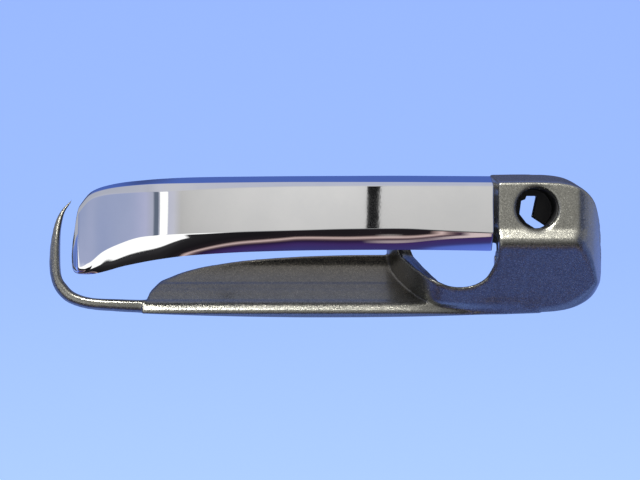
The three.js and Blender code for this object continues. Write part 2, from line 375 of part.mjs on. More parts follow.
// ---------------------------------------------------------------- bellcrank group
const at = (r, a) => [CRANK_Y + r * Math.sin(a), CRANK_Z + r * Math.cos(a)];
function armOutline(r, a, w0, w1) {
  const [y, z] = at(r, a), d = [Math.sin(a), Math.cos(a)], n = [d[1], -d[0]];
  const pts = [[CRANK_Y + n[0] * w0, CRANK_Z + n[1] * w0], [CRANK_Y - n[0] * w0, CRANK_Z - n[1] * w0]];
  for (let i = 0; i <= 8; i++) { const t = Math.PI * (1 - i / 8); pts.push([y + w1 * (n[0] * Math.cos(t) + d[0] * Math.sin(t)), z + w1 * (n[1] * Math.cos(t) + d[1] * Math.sin(t))]); }
  return pts;
}
const OUT_A = (100 * Math.PI) / 180; // output arm direction
const CW_A = (190 * Math.PI) / 180; // counterweight arm direction
function bellcrank() {
  const [fy, fz] = at(CRANK_ARM, CRANK_REST), [oy, oz] = at(ARM_OUT, OUT_A), [cy, cz] = at(19, CW_A);
  let b = join(cylX(8, 99.5, 104.5, CRANK_Y, CRANK_Z, 24), cylX(6.2, 97.8, 100, CRANK_Y, CRANK_Z, 22), cylX(4.6, 104, 111.2, CRANK_Y, CRANK_Z, 24),
    prismX(armOutline(CRANK_ARM, CRANK_REST, 7, 5), 99.5, 104.5), prismX(armOutline(ARM_OUT, OUT_A, 6.5, 5), 99.5, 104.5), prismX(armOutline(19, CW_A, 7, 5.5), 99.5, 104.5),
    cylX(FINGER_R, 74, 100, fy, fz, 24));
  return cut(b, cylX(PIN_R + GAP, 96, 113, CRANK_Y, CRANK_Z, 22), cylX(2.5, 98, 106, oy, oz, 20), cylX(2.3, 98, 106, cy, cz, 18));
}
const crankPin = () => cut(join(cylX(PIN_R, 92.2, 115.6, CRANK_Y, CRANK_Z, 22), cylX(4.8, 115.3, 116.8, CRANK_Y, CRANK_Z, 22)), cut(cylX(6, 92.8, 93.7, CRANK_Y, CRANK_Z, 24), cylX(2.3, 92, 94.5, CRANK_Y, CRANK_Z, 24)));
function crankClip() {
  return cut(cylX(5.6, 93, 93.6, CRANK_Y, CRANK_Z, 22), cylX(2.6, 92, 95, CRANK_Y, CRANK_Z, 24), box(92, 95, CRANK_Y - 1.5, CRANK_Y + 1.5, CRANK_Z - 9, CRANK_Z));
}
function weight() {
  const [cy, cz] = at(19, CW_A);
  return cut(box(104.9, 110.6, cy - 7.5, cy + 7.5, cz - 7, cz + 4.5), cylX(2.3, 103, 112, cy, cz, 18));
}
function rivet() {
  const [cy, cz] = at(19, CW_A);
  return join(cylX(2.0, 98.4, 112, cy, cz, 18), cylX(3.6, 97.9, 99.2, cy, cz, 20), cylX(3.6, 110.9, 112.2, cy, cz, 20));
}
function rodClip() {
  const [oy, oz] = at(ARM_OUT, OUT_A);
  const body = box(105, 111, oy - 5, oy + 5, oz - 6, oz + 6);
  const stub = join(cylX(2.2, 98.5, 106, oy, oz, 20), cylX(3.3, 97.6, 99.2, oy, oz, 20));
  return cut(join(body, stub), cylZ(1.6, oz - 8, oz + 8, 108, oy, 18), box(109, 112, oy - 1, oy + 1, oz - 8, oz + 8));
}
// torsion spring: coil round the bellcrank hub, one leg to the chassis ear, one to the drive arm
function spring() {
  class Coil extends THREE.Curve {
    getPoint(t, v = new THREE.Vector3()) {
      const turns = 2.6, a0 = Math.PI * 0.05, L = 0.16;
      if (t < L) { const a = a0, k = t / L; return v.set(lerp(105.6, 105.7, k), CRANK_Y + 6.6 * Math.sin(a) - (1 - k) * 13 * Math.cos(a), CRANK_Z + 6.6 * Math.cos(a) + (1 - k) * 13 * Math.sin(a)); }
      if (t > 1 - L) { const a = a0 + turns * 2 * Math.PI, k = (t - 1 + L) / L; return v.set(lerp(110.2, 110.3, k), CRANK_Y + 6.6 * Math.sin(a) + k * 12 * Math.cos(a), CRANK_Z + 6.6 * Math.cos(a) - k * 12 * Math.sin(a)); }
      const k = (t - L) / (1 - 2 * L), a = a0 + k * turns * 2 * Math.PI;
      return v.set(lerp(105.7, 110.2, k), CRANK_Y + 6.6 * Math.sin(a), CRANK_Z + 6.6 * Math.cos(a));
    }
  }
  const sh = new THREE.Shape(), r = 0.6;
  for (let i = 0; i < 5; i++) { const a = (i / 5) * 2 * Math.PI; i ? sh.lineTo(r * Math.cos(a), r * Math.sin(a)) : sh.moveTo(r, 0); }
  sh.closePath();
  return solid(new THREE.ExtrudeGeometry(sh, { steps: 52, bevelEnabled: false, extrudePath: new Coil() }));
}

// ---------------------------------------------------------------- fasteners to the door
const studLeft = () => join(cylY(5.6, -8.6, -6.9, ...STUD_L, 6), cylY(STUD_R, -8, 22, ...STUD_L, 24));
const studRight = () => cylY(STUD_R, -15.5, 22, ...STUD_RR, 24);
function nut([x, z]) {
  const hex = new THREE.CylinderGeometry(5.77, 5.77, 5, 6); hex.translate(x, SKIN + 1.4 + 2.5, z);
  return cut(join(solid(hex), cylY(7.2, SKIN, SKIN + 1.6, x, z, 22)), cylY(STUD_R + GAP, 0, 12, x, z, 24));
}
const foam = () => box(-87.7, 77.7, -1.2, 0, -53, -50.4);

// ---------------------------------------------------------------- scene graph
const group = new THREE.Group();
function put(name, shape, color, roughness, metalness) {
  const mesh = new THREE.Mesh(geometryOf(shape), new THREE.MeshStandardMaterial({ color, roughness, metalness }));
  mesh.name = name;
  group.add(mesh);
}
put('bezel_housing', bezel(), 0x7b7f80, 0.35, 0.6);
put('chassis', chassis(), 0x1b1c1e, 0.7, 0.1);
put('lever_cover', cover(), 0xdadce0, 0.06, 1.0);
put('lever_core', core(), 0x1d1d1f, 0.75, 0.0);
put('cover_screw_left', coverScrew(SCREWS[0]), 0x8b8d90, 0.35, 1);
put('cover_screw_right', coverScrew(SCREWS[1]), 0x8b8d90, 0.35, 1);
put('hinge_pin', hingePin(), 0xa9abb0, 0.3, 1);
put('hinge_bush_upper', bush(-4.2, 1.4), 0xd9d6c8, 0.6, 0);
put('hinge_bush_lower', bush(-10.2, -4.5), 0xd9d6c8, 0.6, 0);
put('hinge_pin_clip', ring(HINGE_X, HINGE_Y, -15.85, 2.6, 5.4, 0.6), 0x5c5e62, 0.4, 1);
put('chassis_screw_upper', chassisScrew(93.6, 13.2), 0x8b8d90, 0.35, 1);
put('chassis_screw_lower', chassisScrew(94.2, -12.6), 0x8b8d90, 0.35, 1);
put('lock_sleeve', sleeve(), 0x141416, 0.6, 0);
put('lock_retaining_clip', lockClip(), 0x6d7075, 0.4, 1);
put('bellcrank', bellcrank(), 0x9a9ca0, 0.45, 0.9);
put('bellcrank_pin', crankPin(), 0xa9abb0, 0.3, 1);
put('bellcrank_pin_clip', crankClip(), 0x5c5e62, 0.4, 1);
put('return_spring', spring(), 0x85878c, 0.3, 1);
put('counterweight', weight(), 0x77797d, 0.5, 1);
put('counterweight_rivet', rivet(), 0xa9abb0, 0.35, 1);
put('rod_clip', rodClip(), 0xd8cf3a, 0.5, 0);
put('bumper_left', bumper(-84, 0), 0x121212, 0.9, 0);
put('bumper_right', bumper(66, -9), 0x121212, 0.9, 0);
put('stud_seal', seal(), 0x202124, 0.95, 0);
put('lower_seal', foam(), 0x202124, 0.95, 0);
put('stud_left', studLeft(), 0xb4b19a, 0.35, 1);
put('stud_right', studRight(), 0xb4b19a, 0.35, 1);
put('flange_nut_left', nut(STUD_L), 0xb4b19a, 0.35, 1);
put('flange_nut_right', nut(STUD_RR), 0xb4b19a, 0.35, 1);
export default group;
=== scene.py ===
import bpy
import bmesh
import math
import numpy as np
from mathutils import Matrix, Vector


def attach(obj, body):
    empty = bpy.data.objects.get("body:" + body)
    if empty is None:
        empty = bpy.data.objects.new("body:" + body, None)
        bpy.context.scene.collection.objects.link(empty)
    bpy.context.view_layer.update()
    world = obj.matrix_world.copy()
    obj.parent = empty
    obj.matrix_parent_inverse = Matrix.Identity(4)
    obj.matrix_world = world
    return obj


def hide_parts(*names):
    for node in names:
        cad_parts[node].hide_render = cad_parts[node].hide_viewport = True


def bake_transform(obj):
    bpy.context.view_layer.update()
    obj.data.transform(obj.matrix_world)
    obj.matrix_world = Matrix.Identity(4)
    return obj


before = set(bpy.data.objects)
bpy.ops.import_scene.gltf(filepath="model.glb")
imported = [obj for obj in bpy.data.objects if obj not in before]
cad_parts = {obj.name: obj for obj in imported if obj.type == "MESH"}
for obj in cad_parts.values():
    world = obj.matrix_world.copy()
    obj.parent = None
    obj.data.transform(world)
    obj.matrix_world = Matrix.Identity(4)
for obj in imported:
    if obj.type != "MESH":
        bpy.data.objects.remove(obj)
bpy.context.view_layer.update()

MM = 0.001
F4 = np.float32

# ------------------------------------------------------------------ numbers of the object, mm
HINGE_X, HINGE_Y = -118.0, 12.0
LOCK_X, LOCK_Z, LOCK_R = 106.9, 1.6, 10.25
CRANK_Y, CRANK_Z, CRANK_ARM, CRANK_REST = 28.0, -26.0, 30.0, math.radians(27)
ARM_OUT, OUT_A, CW_A = 24.0, math.radians(100), math.radians(190)
STUD_L, STUD_RR = (-55.0, 0.0), (131.0, -30.0)
OUT_BOTTOM = [(-97.5, -53.4), (-67.1, -54.6), (-40.6, -55.3), (-14, -55.7), (12.5, -55.7), (39.1, -55.4), (71, -54.6), (92.2, -54.1), (113.5, -53.3), (124.1, -52.3), (132.1, -50.2), (139, -46.4), (142.7, -42.4), (145.2, -36), (146.1, -27.8)]
OUT_TOP = [(86.8, 20.4), (102.8, 20.6), (116.1, 20.3), (124.1, 19.2), (129.4, 17.1), (134.7, 13.1), (139, 7.8), (142.2, 0.4), (144.3, -6.5), (145.5, -17.2), (146.1, -27.6)]
RIM_OUT = [(-135.3, 7.1), (-137.6, 5.0), (-139.6, 3.0), (-141.4, 0.8), (-142.8, -1.6), (-143.9, -4.2), (-144.9, -7.4), (-145.8, -11.5), (-146.6, -16), (-147.1, -20.9), (-147.4, -27.2), (-146.8, -33.1), (-145.2, -38.9), (-142.6, -43.2), (-138.3, -47.2), (-133, -49.6), (-125.6, -51.4), (-109.6, -52.7), (-95.5, -53.5)]
RIM_IN = [(-134.9, 6.6), (-136.4, 4.4), (-137.7, 2.6), (-138.8, 0.8), (-139.6, -1.4), (-140.2, -4), (-140.8, -7.4), (-141.2, -11.5), (-141.35, -16), (-141.4, -21), (-141.3, -28), (-140.8, -33.2), (-139.8, -36), (-138.3, -37.9), (-135.6, -41), (-132.5, -43), (-125.5, -45.1), (-109.2, -46), (-95.5, -46.4)]
CUP = [(-57, 0.2), (-56, 1.2), (-55, 3.6), (-54.2, 5.6), (-53.4, 7.2), (-52.6, 7.95), (-51.8, 7.95), (-50.8, 7.55), (-49.6, 6.95), (-48.6, 6.35), (-47.9, 5.6), (-47.2, 4.4), (-46.2, 2.4), (-44.5, -0.4), (-42, -4.4), (-40, -8.1), (-38, -11.7), (-37.2, -13.6), (-36.4, -14.9), (-32, -21.3), (-28, -24.8), (-24, -26), (-17, -26), (-10, -26)]
CUP_EDGE = [(-95.6, -46.5), (-95.1, -44.2), (-94.1, -41.7), (-92.4, -39.7), (-89.8, -36.9), (-84.7, -34.6), (-79.6, -32.5), (-68.9, -29.5), (-58.1, -27.6), (-47.2, -26), (-36.2, -24.9), (-14.3, -23.5), (10.3, -22.7), (34, -22.5)]
MOUTH = [(38.6, -17, -1), (40.2, -22.5, 0.5), (42.1, -24.6, 4.4), (44.1, -26.6, 7.8), (46.5, -28.9, 11.5), (48.9, -30.7, 14.8), (51.9, -33, 17.4), (55.4, -34.8, 19.6), (58.5, -36.3, 19.9), (61.7, -37.7, 19), (65.4, -38.7, 17.8), (69.6, -39, 17.5), (73.8, -38.7, 17.8), (77.3, -37.7, 19), (80.8, -35.8, 21), (83.1, -33.7, 23.4), (84.8, -30.5, 26.8), (86.2, -26.8, 30.8), (87, -22.7, 35.3), (87, -12, 44)]
END_H = [(110, 62), (119, 55), (123, 51.2), (126, 48), (128.8, 44.4), (131.2, 40.8), (134, 36.4), (137, 30.6), (140, 22.6), (142.5, 14.6), (144.5, 7.4), (146.1, 1.4), (148, -8)]
LEVER = [
    (-134.1, -18.5, 8.2, -19, 8.6, -20, 9, -26, 9, -28.4, 8.2),
    (-133.4, -13.5, 8.8, -14, 9.6, -15.5, 10.4, -28, 10.2, -30.4, 8.8),
    (-132.4, -8.5, 9.2, -9, 10.8, -10.5, 11.8, -29.2, 11.4, -31.6, 9.3),
    (-131.2, -1, 10.4, -1.6, 12.2, -3.4, 13.4, -30, 12.8, -32.2, 10),
    (-129.8, 4.6, 11.6, 3.8, 13.8, 1.2, 15, -30.6, 14.2, -32.7, 11),
    (-127, 8.4, 12.6, 7.4, 15.4, 4.2, 17, -31, 15.9, -32.8, 12.2),
    (-124, 10.7, 13.6, 9.4, 16.8, 6.4, 18.6, -29, 17.7, -32.6, 13.8),
    (-120.5, 12.4, 14.6, 10.6, 18.2, 8.2, 20.4, -25.2, 19.8, -32.2, 15.4),
    (-117, 13.4, 15.6, 11.6, 20.2, 9.2, 22.8, -21.6, 22.8, -31.2, 18),
    (-113, 14.3, 17.2, 12.3, 22.8, 9.4, 25.4, -19.6, 25.6, -30.4, 20.4),
    (-108.5, 15.1, 19, 12.8, 26, 9.5, 28.4, -17.6, 28.8, -28.8, 23),
    (-104, 15.7, 20.8, 13.2, 29, 9.6, 31.4, -15.8, 31.6, -27.8, 25.4),
    (-99, 16.1, 22.6, 13.5, 32.4, 9.7, 34.8, -14, 34.8, -26.8, 28),
    (-94, 16.5, 24.4, 13.8, 35.2, 9.8, 37.6, -12.9, 37.6, -25.8, 30.2),
    (-89, 16.9, 26, 14, 37.2, 9.9, 39.6, -12.5, 39.6, -24.9, 32),
    (-83, 17.2, 27.4, 14.2, 38.8, 10, 41.3, -12.1, 41.3, -24, 33.4),
    (-74, 17.6, 29, 14.3, 40.3, 10.4, 43, -11.6, 43, -22.8, 34.6),
    (-60, 17.9, 30.2, 14.5, 41.4, 11.2, 44.3, -11.1, 44.3, -21.7, 35.6),
    (-40, 18.1, 31, 14.7, 42.4, 12, 45.3, -10.4, 45.3, -20.6, 36.4),
    (-14, 18.3, 31.8, 14.9, 43, 12.6, 46, -9.7, 46, -19.9, 37),
    (12, 18.4, 31.9, 14.9, 43, 12.8, 46, -9, 46, -19.6, 37),
    (37, 18.5, 31.6, 14.9, 42.6, 12.9, 45.6, -8.8, 45.6, -19.5, 36.6),
    (60, 18.4, 31, 14.8, 42.2, 12.9, 45.1, -9.9, 45.1, -19.7, 35.8),
    (84.4, 18.3, 30.6, 14.7, 41.6, 12.8, 44.4, -11, 44.4, -20.1, 34.8)]
SCREWS = [(-92.0, 2.0), (66.0, 2.0)]
LEG = dict(x0=75.5, x1=80.5, z0=-6.5, z1=10.2, end=49.0)
KEYWAY = [(104.1, 8.5), (109.4, 8.5), (107.1, -2.4), (114.1, -7), (111.6, -8.2), (108.4, -8.4), (104, -5.6), (100.4, -1), (101.3, 5.9), (103.4, 6.6)]


# ------------------------------------------------------------------ curves
def pchip(xs, ys, q):
    """Monotone cubic through the points, which keeps a smooth slope."""
    xs, ys, q = np.asarray(xs, float), np.asarray(ys, float), np.asarray(q, float)
    h, d = np.diff(xs), np.diff(ys) / np.diff(xs)
    m = np.zeros(len(xs))
    w1, w2 = 2 * h[1:] + h[:-1], h[1:] + 2 * h[:-1]
    ok = d[:-1] * d[1:] > 0
    m[1:-1][ok] = (w1 + w2)[ok] / (w1[ok] / d[:-1][ok] + w2[ok] / d[1:][ok])
    m[0], m[-1] = d[0], d[-1]
    i = np.clip(np.searchsorted(xs, q) - 1, 0, len(xs) - 2)
    t = (q - xs[i]) / h[i]
    lo, hi = t < 0, t > 1
    tc = np.clip(t, 0, 1)
    v = (2 * tc**3 - 3 * tc**2 + 1) * ys[i] + (tc**3 - 2 * tc**2 + tc) * h[i] * m[i] + (-2 * tc**3 + 3 * tc**2) * ys[i + 1] + (tc**3 - tc**2) * h[i] * m[i + 1]
    v = np.where(lo, ys[0] + m[0] * (q - xs[0]), v)
    return np.where(hi, ys[-1] + m[-1] * (q - xs[-1]), v)


def spline(pts, step):
    """Centripetal Catmull-Rom resampling of an open run of points."""
    p = np.asarray(pts, float)
    p = np.vstack([2 * p[0] - p[1], p, 2 * p[-1] - p[-2]])
    out = []
    for i in range(1, len(p) - 2):
        a, b, c, d = p[i - 1], p[i], p[i + 1], p[i + 2]
        t0 = 0.0
        t1 = t0 + max(np.linalg.norm(b - a), 1e-6) ** 0.5
        t2 = t1 + max(np.linalg.norm(c - b), 1e-6) ** 0.5
        t3 = t2 + max(np.linalg.norm(d - c), 1e-6) ** 0.5
        n = max(1, int(round(np.linalg.norm(c - b) / step)))
        for k in range(n):
            t = t1 + (t2 - t1) * k / n
            a1 = (t1 - t) / (t1 - t0) * a + (t - t0) / (t1 - t0) * b
            a2 = (t2 - t) / (t2 - t1) * b + (t - t1) / (t2 - t1) * c
            a3 = (t3 - t) / (t3 - t2) * c + (t - t2) / (t3 - t2) * d
            b1 = (t2 - t) / (t2 - t0) * a1 + (t - t0) / (t2 - t0) * a2
            b2 = (t3 - t) / (t3 - t1) * a2 + (t - t1) / (t3 - t1) * a3
            out.append((t2 - t) / (t2 - t1) * b1 + (t - t1) / (t2 - t1) * b2)
    out.append(p[-2])
    return np.array(out)


def smoothstep(a, b, v):
    t = np.clip((v - a) / (b - a), 0, 1)
    return t * t * (3 - 2 * t)


# ------------------------------------------------------------------ distance fields
def smin(a, b, k):
    t = np.maximum(k - np.abs(a - b), 0) / k
    return np.minimum(a, b) - t * t * k * 0.25


def smax(a, b, k):
    t = np.maximum(k - np.abs(a - b), 0) / k
    return np.maximum(a, b) + t * t * k * 0.25


def line_dist(U, V, pts):
    """Distance to an open polyline in the plane."""
    best = np.full(U.shape, 1e9, F4)
    for (a, b), (c, d) in zip(pts[:-1], pts[1:]):
        ex, ey = c - a, d - b
        L = ex * ex + ey * ey
        if L < 1e-12:
            continue
        t = np.clip(((U - a) * ex + (V - b) * ey) / L, 0, 1)
        best = np.minimum(best, (U - a - t * ex) ** 2 + (V - b - t * ey) ** 2)
    return np.sqrt(best)


def poly_dist(U, V, pts):
    """Signed distance to a closed polygon in the plane, negative inside."""
    best = np.full(U.shape, 1e9, F4)
    inside = np.zeros(U.shape, bool)
    pts = [tuple(map(float, p[:2])) for p in pts]
    for (a, b), (c, d) in zip(pts, pts[1:] + pts[:1]):
        ex, ey = c - a, d - b
        L = ex * ex + ey * ey
        if L < 1e-12:
            continue
        t = np.clip(((U - a) * ex + (V - b) * ey) / L, 0, 1)
        best = np.minimum(best, (U - a - t * ex) ** 2 + (V - b - t * ey) ** 2)
        if b != d:
            inside ^= ((b > V) != (d > V)) & (U < ex * (V - b) / ey + a)
    r = np.sqrt(best)
    return np.where(inside, -r, r)


def bx(X, Y, Z, x0, x1, y0, y1, z0, z1, r=0.0):
    """Box with rounded edges."""
    qx, qy, qz = np.abs(X - (x0 + x1) / 2) - (x1 - x0) / 2 + r, np.abs(Y - (y0 + y1) / 2) - (y1 - y0) / 2 + r, np.abs(Z - (z0 + z1) / 2) - (z1 - z0) / 2 + r
    out = np.sqrt(np.maximum(qx, 0) ** 2 + np.maximum(qy, 0) ** 2 + np.maximum(qz, 0) ** 2)
    return out + np.minimum(np.maximum(qx, np.maximum(qy, qz)), 0) - r


def cyl(U, V, W, u, v, R, w0, w1, r=0.0):
    """Cylinder along W with rounded edges."""
    a = np.hypot(U - u, V - v) - R + r
    b = np.abs(W - (w0 + w1) / 2) - (w1 - w0) / 2 + r
    return np.hypot(np.maximum(a, 0), np.maximum(b, 0)) + np.minimum(np.maximum(a, b), 0) - r


def slab(d2, W, w0, w1, r=0.0):
    """Prism: plane field d2 swept along W, edges rounded."""
    a, b = d2 + r, np.abs(W - (w0 + w1) / 2) - (w1 - w0) / 2 + r
    return np.hypot(np.maximum(a, 0), np.maximum(b, 0)) + np.minimum(np.maximum(a, b), 0) - r


def grid(lo, hi, h):
    ax = [np.arange(a - 1.6 * h, b + 2.6 * h, h, dtype=F4) for a, b in zip(lo, hi)]
    return ax, np.meshgrid(*ax, indexing="ij")


def nets(f, ax, h, relax=2):
    """Naive surface nets on a grid field, pulled onto the field's zero, with the field's normals."""
    f = np.ascontiguousarray(f, dtype=F4)
    s = f < 0
    cnt = sum(s[i:s.shape[0] - 1 + i, j:s.shape[1] - 1 + j, k:s.shape[2] - 1 + k].astype(np.int8) for i in (0, 1) for j in (0, 1) for k in (0, 1))
    act = (cnt > 0) & (cnt < 8)
    cells = np.argwhere(act)
    idx = np.full(act.shape, -1, np.int64)
    idx[act] = np.arange(len(cells))
    acc, n = np.zeros((len(cells), 3)), np.zeros(len(cells))
    for a in range(3):
        b, c = [q for q in range(3) if q != a]
        for u in (0, 1):
            for v in (0, 1):
                o = np.zeros(3, int)
                o[b], o[c] = u, v
                p0 = cells + o
                p1 = p0.copy()
                p1[:, a] += 1
                f0, f1 = f[tuple(p0.T)], f[tuple(p1.T)]
                m = (f0 < 0) != (f1 < 0)
                t = f0[m] / (f0[m] - f1[m])
                q = p0[m].astype(float)
                q[:, a] += t
                acc[m] += q
                n[m] += 1
    pos = acc / n[:, None]
    quads = []
    for a in range(3):
        b, c = (a + 1) % 3, (a + 2) % 3
        sl0, sl1 = [slice(None)] * 3, [slice(None)] * 3
        sl0[a], sl1[a] = slice(0, -1), slice(1, None)
        s0, s1 = s[tuple(sl0)], s[tuple(sl1)]
        e = np.argwhere(s0 != s1)
        e = e[(e[:, b] > 0) & (e[:, c] > 0) & (e[:, b] < act.shape[b]) & (e[:, c] < act.shape[c])]
        flip = s0[tuple(e.T)]
        ring = []
        for db, dc in ((-1, -1), (0, -1), (0, 0), (-1, 0)):
            q = e.copy()
            q[:, b] += db
            q[:, c] += dc
            ring.append(idx[tuple(q.T)])
        ring = np.stack(ring, 1)
        ring[~flip] = ring[~flip][:, ::-1]
        quads.append(ring)
    quads = np.vstack(quads)
    quads = quads[(quads >= 0).all(1)]
    g = np.gradient(f, h)

    def sample(arrs, p):
        i = np.clip(np.floor(p).astype(int), 0, np.array(f.shape) - 2)
        t = p - i
        out = []
        for arr in arrs:
            v = 0
            for di in (0, 1):
                for dj in (0, 1):
                    for dk in (0, 1):
                        w = (t[:, 0] if di else 1 - t[:, 0]) * (t[:, 1] if dj else 1 - t[:, 1]) * (t[:, 2] if dk else 1 - t[:, 2])
                        v = v + w * arr[i[:, 0] + di, i[:, 1] + dj, i[:, 2] + dk]
            out.append(v)
        return out

    def pull(p, times):
        for _ in range(times):
            v, gx, gy, gz = sample([f, *g], p)
            G = np.stack([gx, gy, gz], 1)
            step = -(v / np.maximum((G * G).sum(1), 0.05))[:, None] * G / h
            L = np.linalg.norm(step, axis=1, keepdims=True)
            p = p + step * np.minimum(1, 0.5 / np.maximum(L, 1e-9))
        return p

    pos = pull(pos, 2)
    e = np.vstack([quads[:, [0, 1]], quads[:, [1, 2]], quads[:, [2, 3]], quads[:, [3, 0]]])
    for _ in range(relax):
        s_, c_ = np.zeros_like(pos), np.zeros(len(pos))
        for k in range(3):
            s_[:, k] = np.bincount(e[:, 0], pos[e[:, 1], k], len(pos)) + np.bincount(e[:, 1], pos[e[:, 0], k], len(pos))
        c_ = np.bincount(e[:, 0], minlength=len(pos)) + np.bincount(e[:, 1], minlength=len(pos))
        pos = pull(pos * 0.4 + 0.6 * s_ / np.maximum(c_, 1)[:, None], 2)
    _, gx, gy, gz = sample([f, *g], pos)
    nor = np.stack([gx, gy, gz], 1)
    nor /= np.maximum(np.linalg.norm(nor, axis=1, keepdims=True), 1e-9)
    org = np.array([a_[0] for a_ in ax])
    return org + pos * h, quads, nor


def add_mesh(name, verts, faces, normals=None):
    me = bpy.data.meshes.new(name)
    me.from_pydata([tuple(v) for v in (np.asarray(verts) * MM)], [], [tuple(map(int, q)) for q in faces])
    me.update()
    me.shade_smooth()
    if normals is not None:
        me.normals_split_custom_set_from_vertices([tuple(n) for n in normals])
    ob = bpy.data.objects.new(name, me)
    bpy.context.scene.collection.objects.link(ob)
    return ob


def solid(name, lo, hi, h, field, relax=2):
    ax, (X, Y, Z) = grid(lo, hi, h)
    v, q, n = nets(field(X, Y, Z), ax, h, relax)
    return add_mesh(name, v, q, n)


# ------------------------------------------------------------------ materials
def new_mat(name):
    m = bpy.data.materials.new(name)
    m.use_nodes = True
    nt = m.node_tree
    return m, nt, nt.nodes["Principled BSDF"]


def node(nt, kind, **kw):
    n = nt.nodes.new(kind)
    for k, v in kw.items():
        if k in n.inputs:
            n.inputs[k].default_value = v
        else:
            setattr(n, k, v)
    return n


def coords(nt):
    return node(nt, "ShaderNodeTexCoord").outputs["Object"]


def noise(nt, co, scale, detail=2.0, rough=0.5):
    n = node(nt, "ShaderNodeTexNoise")
    n.inputs["Scale"].default_value, n.inputs["Detail"].default_value, n.inputs["Roughness"].default_value = scale, detail, rough
    nt.links.new(co, n.inputs["Vector"])
    return n


def voronoi(nt, co, scale):
    n = node(nt, "ShaderNodeTexVoronoi")
    n.inputs["Scale"].default_value = scale
    nt.links.new(co, n.inputs["Vector"])
    return n


def ramp(nt, fac, stops):
    r = node(nt, "ShaderNodeValToRGB")
    e = r.color_ramp.elements
    while len(e) < len(stops):
        e.new(0.5)
    for k, (p, c) in enumerate(stops):
        e[k].position = p
        e[k].color = c if len(c) == 4 else (*c, 1)
    nt.links.new(fac, r.inputs["Fac"])
    return r.outputs["Color"]


def span(nt, fac, lo, hi, a=0.0, b=1.0):
    r = node(nt, "ShaderNodeMapRange")
    r.inputs["From Min"].default_value, r.inputs["From Max"].default_value = a, b
    r.inputs["To Min"].default_value, r.inputs["To Max"].default_value = lo, hi
    nt.links.new(fac, r.inputs["Value"])
    return r.outputs["Result"]


def bump(nt, height, strength, dist, normal=None):
    b = node(nt, "ShaderNodeBump")
    b.inputs["Strength"].default_value, b.inputs["Distance"].default_value = strength, dist
    nt.links.new(height, b.inputs["Height"])
    if normal is not None:
        nt.links.new(normal, b.inputs["Normal"])
    return b.outputs["Normal"]


def mat_paint():
    m, nt, p = new_mat("bezel_paint")
    co = coords(nt)
    fl = voronoi(nt, co, 3300.0)
    sep = node(nt, "ShaderNodeSeparateColor")
    nt.links.new(fl.outputs["Color"], sep.inputs["Color"])
    cloud = noise(nt, co, 90.0, 3.0)
    base = ramp(nt, sep.outputs["Red"], [(0.0, (0.152, 0.149, 0.130)), (0.55, (0.203, 0.199, 0.174)), (0.88, (0.275, 0.270, 0.236)), (1.0, (0.46, 0.452, 0.40))])
    mix = node(nt, "ShaderNodeMix", data_type="RGBA", blend_type="MULTIPLY")
    mix.inputs["Factor"].default_value = 0.35
    nt.links.new(base, mix.inputs["A"])
    nt.links.new(ramp(nt, cloud.outputs["Fac"], [(0.3, (0.86, 0.87, 0.88)), (0.7, (1.1, 1.1, 1.09))]), mix.inputs["B"])
    # painted shade, for colour match only: the base colour is darker and warmer deep in the hand cup, standing in for
    # the darker reflections and shade there
    xyz = node(nt, "ShaderNodeSeparateXYZ")
    nt.links.new(co, xyz.inputs["Vector"])
    cup_shade_mask = node(nt, "ShaderNodeMath", operation="MULTIPLY")
    nt.links.new(span(nt, xyz.outputs["Y"], 0, 1, -0.006, 0.008), cup_shade_mask.inputs[0])
    nt.links.new(span(nt, xyz.outputs["X"], 1, 0, 0.050, 0.068), cup_shade_mask.inputs[1])
    cup_painted_shade = node(nt, "ShaderNodeMix", data_type="RGBA", blend_type="MULTIPLY")
    nt.links.new(cup_shade_mask.outputs[0], cup_painted_shade.inputs["Factor"])
    nt.links.new(mix.outputs["Result"], cup_painted_shade.inputs["A"])
    cup_painted_shade.inputs["B"].default_value = (0.84, 0.77, 0.66, 1)
    nt.links.new(cup_painted_shade.outputs["Result"], p.inputs["Base Color"])
    nt.links.new(span(nt, sep.outputs["Green"], 0.24, 0.46), p.inputs["Roughness"])
    p.inputs["Metallic"].default_value = 0.93
    p.inputs["Coat Weight"].default_value = 0.72
    p.inputs["Coat Roughness"].default_value = 0.17
    p.inputs["Coat IOR"].default_value = 1.5
    # flakes lie at slightly different tilts; the lacquer over them has a faint orange peel
    geo = node(nt, "ShaderNodeNewGeometry")
    sub = node(nt, "ShaderNodeVectorMath", operation="SUBTRACT")
    nt.links.new(fl.outputs["Color"], sub.inputs[0])
    sub.inputs[1].default_value = (0.5, 0.5, 0.5)
    sc = node(nt, "ShaderNodeVectorMath", operation="SCALE")
    sc.inputs["Scale"].default_value = 0.21
    nt.links.new(sub.outputs["Vector"], sc.inputs[0])
    add = node(nt, "ShaderNodeVectorMath", operation="ADD")
    nt.links.new(geo.outputs["Normal"], add.inputs[0])
    nt.links.new(sc.outputs["Vector"], add.inputs[1])
    nrm = node(nt, "ShaderNodeVectorMath", operation="NORMALIZE")
    nt.links.new(add.outputs["Vector"], nrm.inputs[0])
    nt.links.new(nrm.outputs["Vector"], p.inputs["Normal"])
    peel = noise(nt, co, 420.0, 2.0)
    nt.links.new(bump(nt, peel.outputs["Fac"], 0.16, 0.00012), p.inputs["Coat Normal"])
    return m


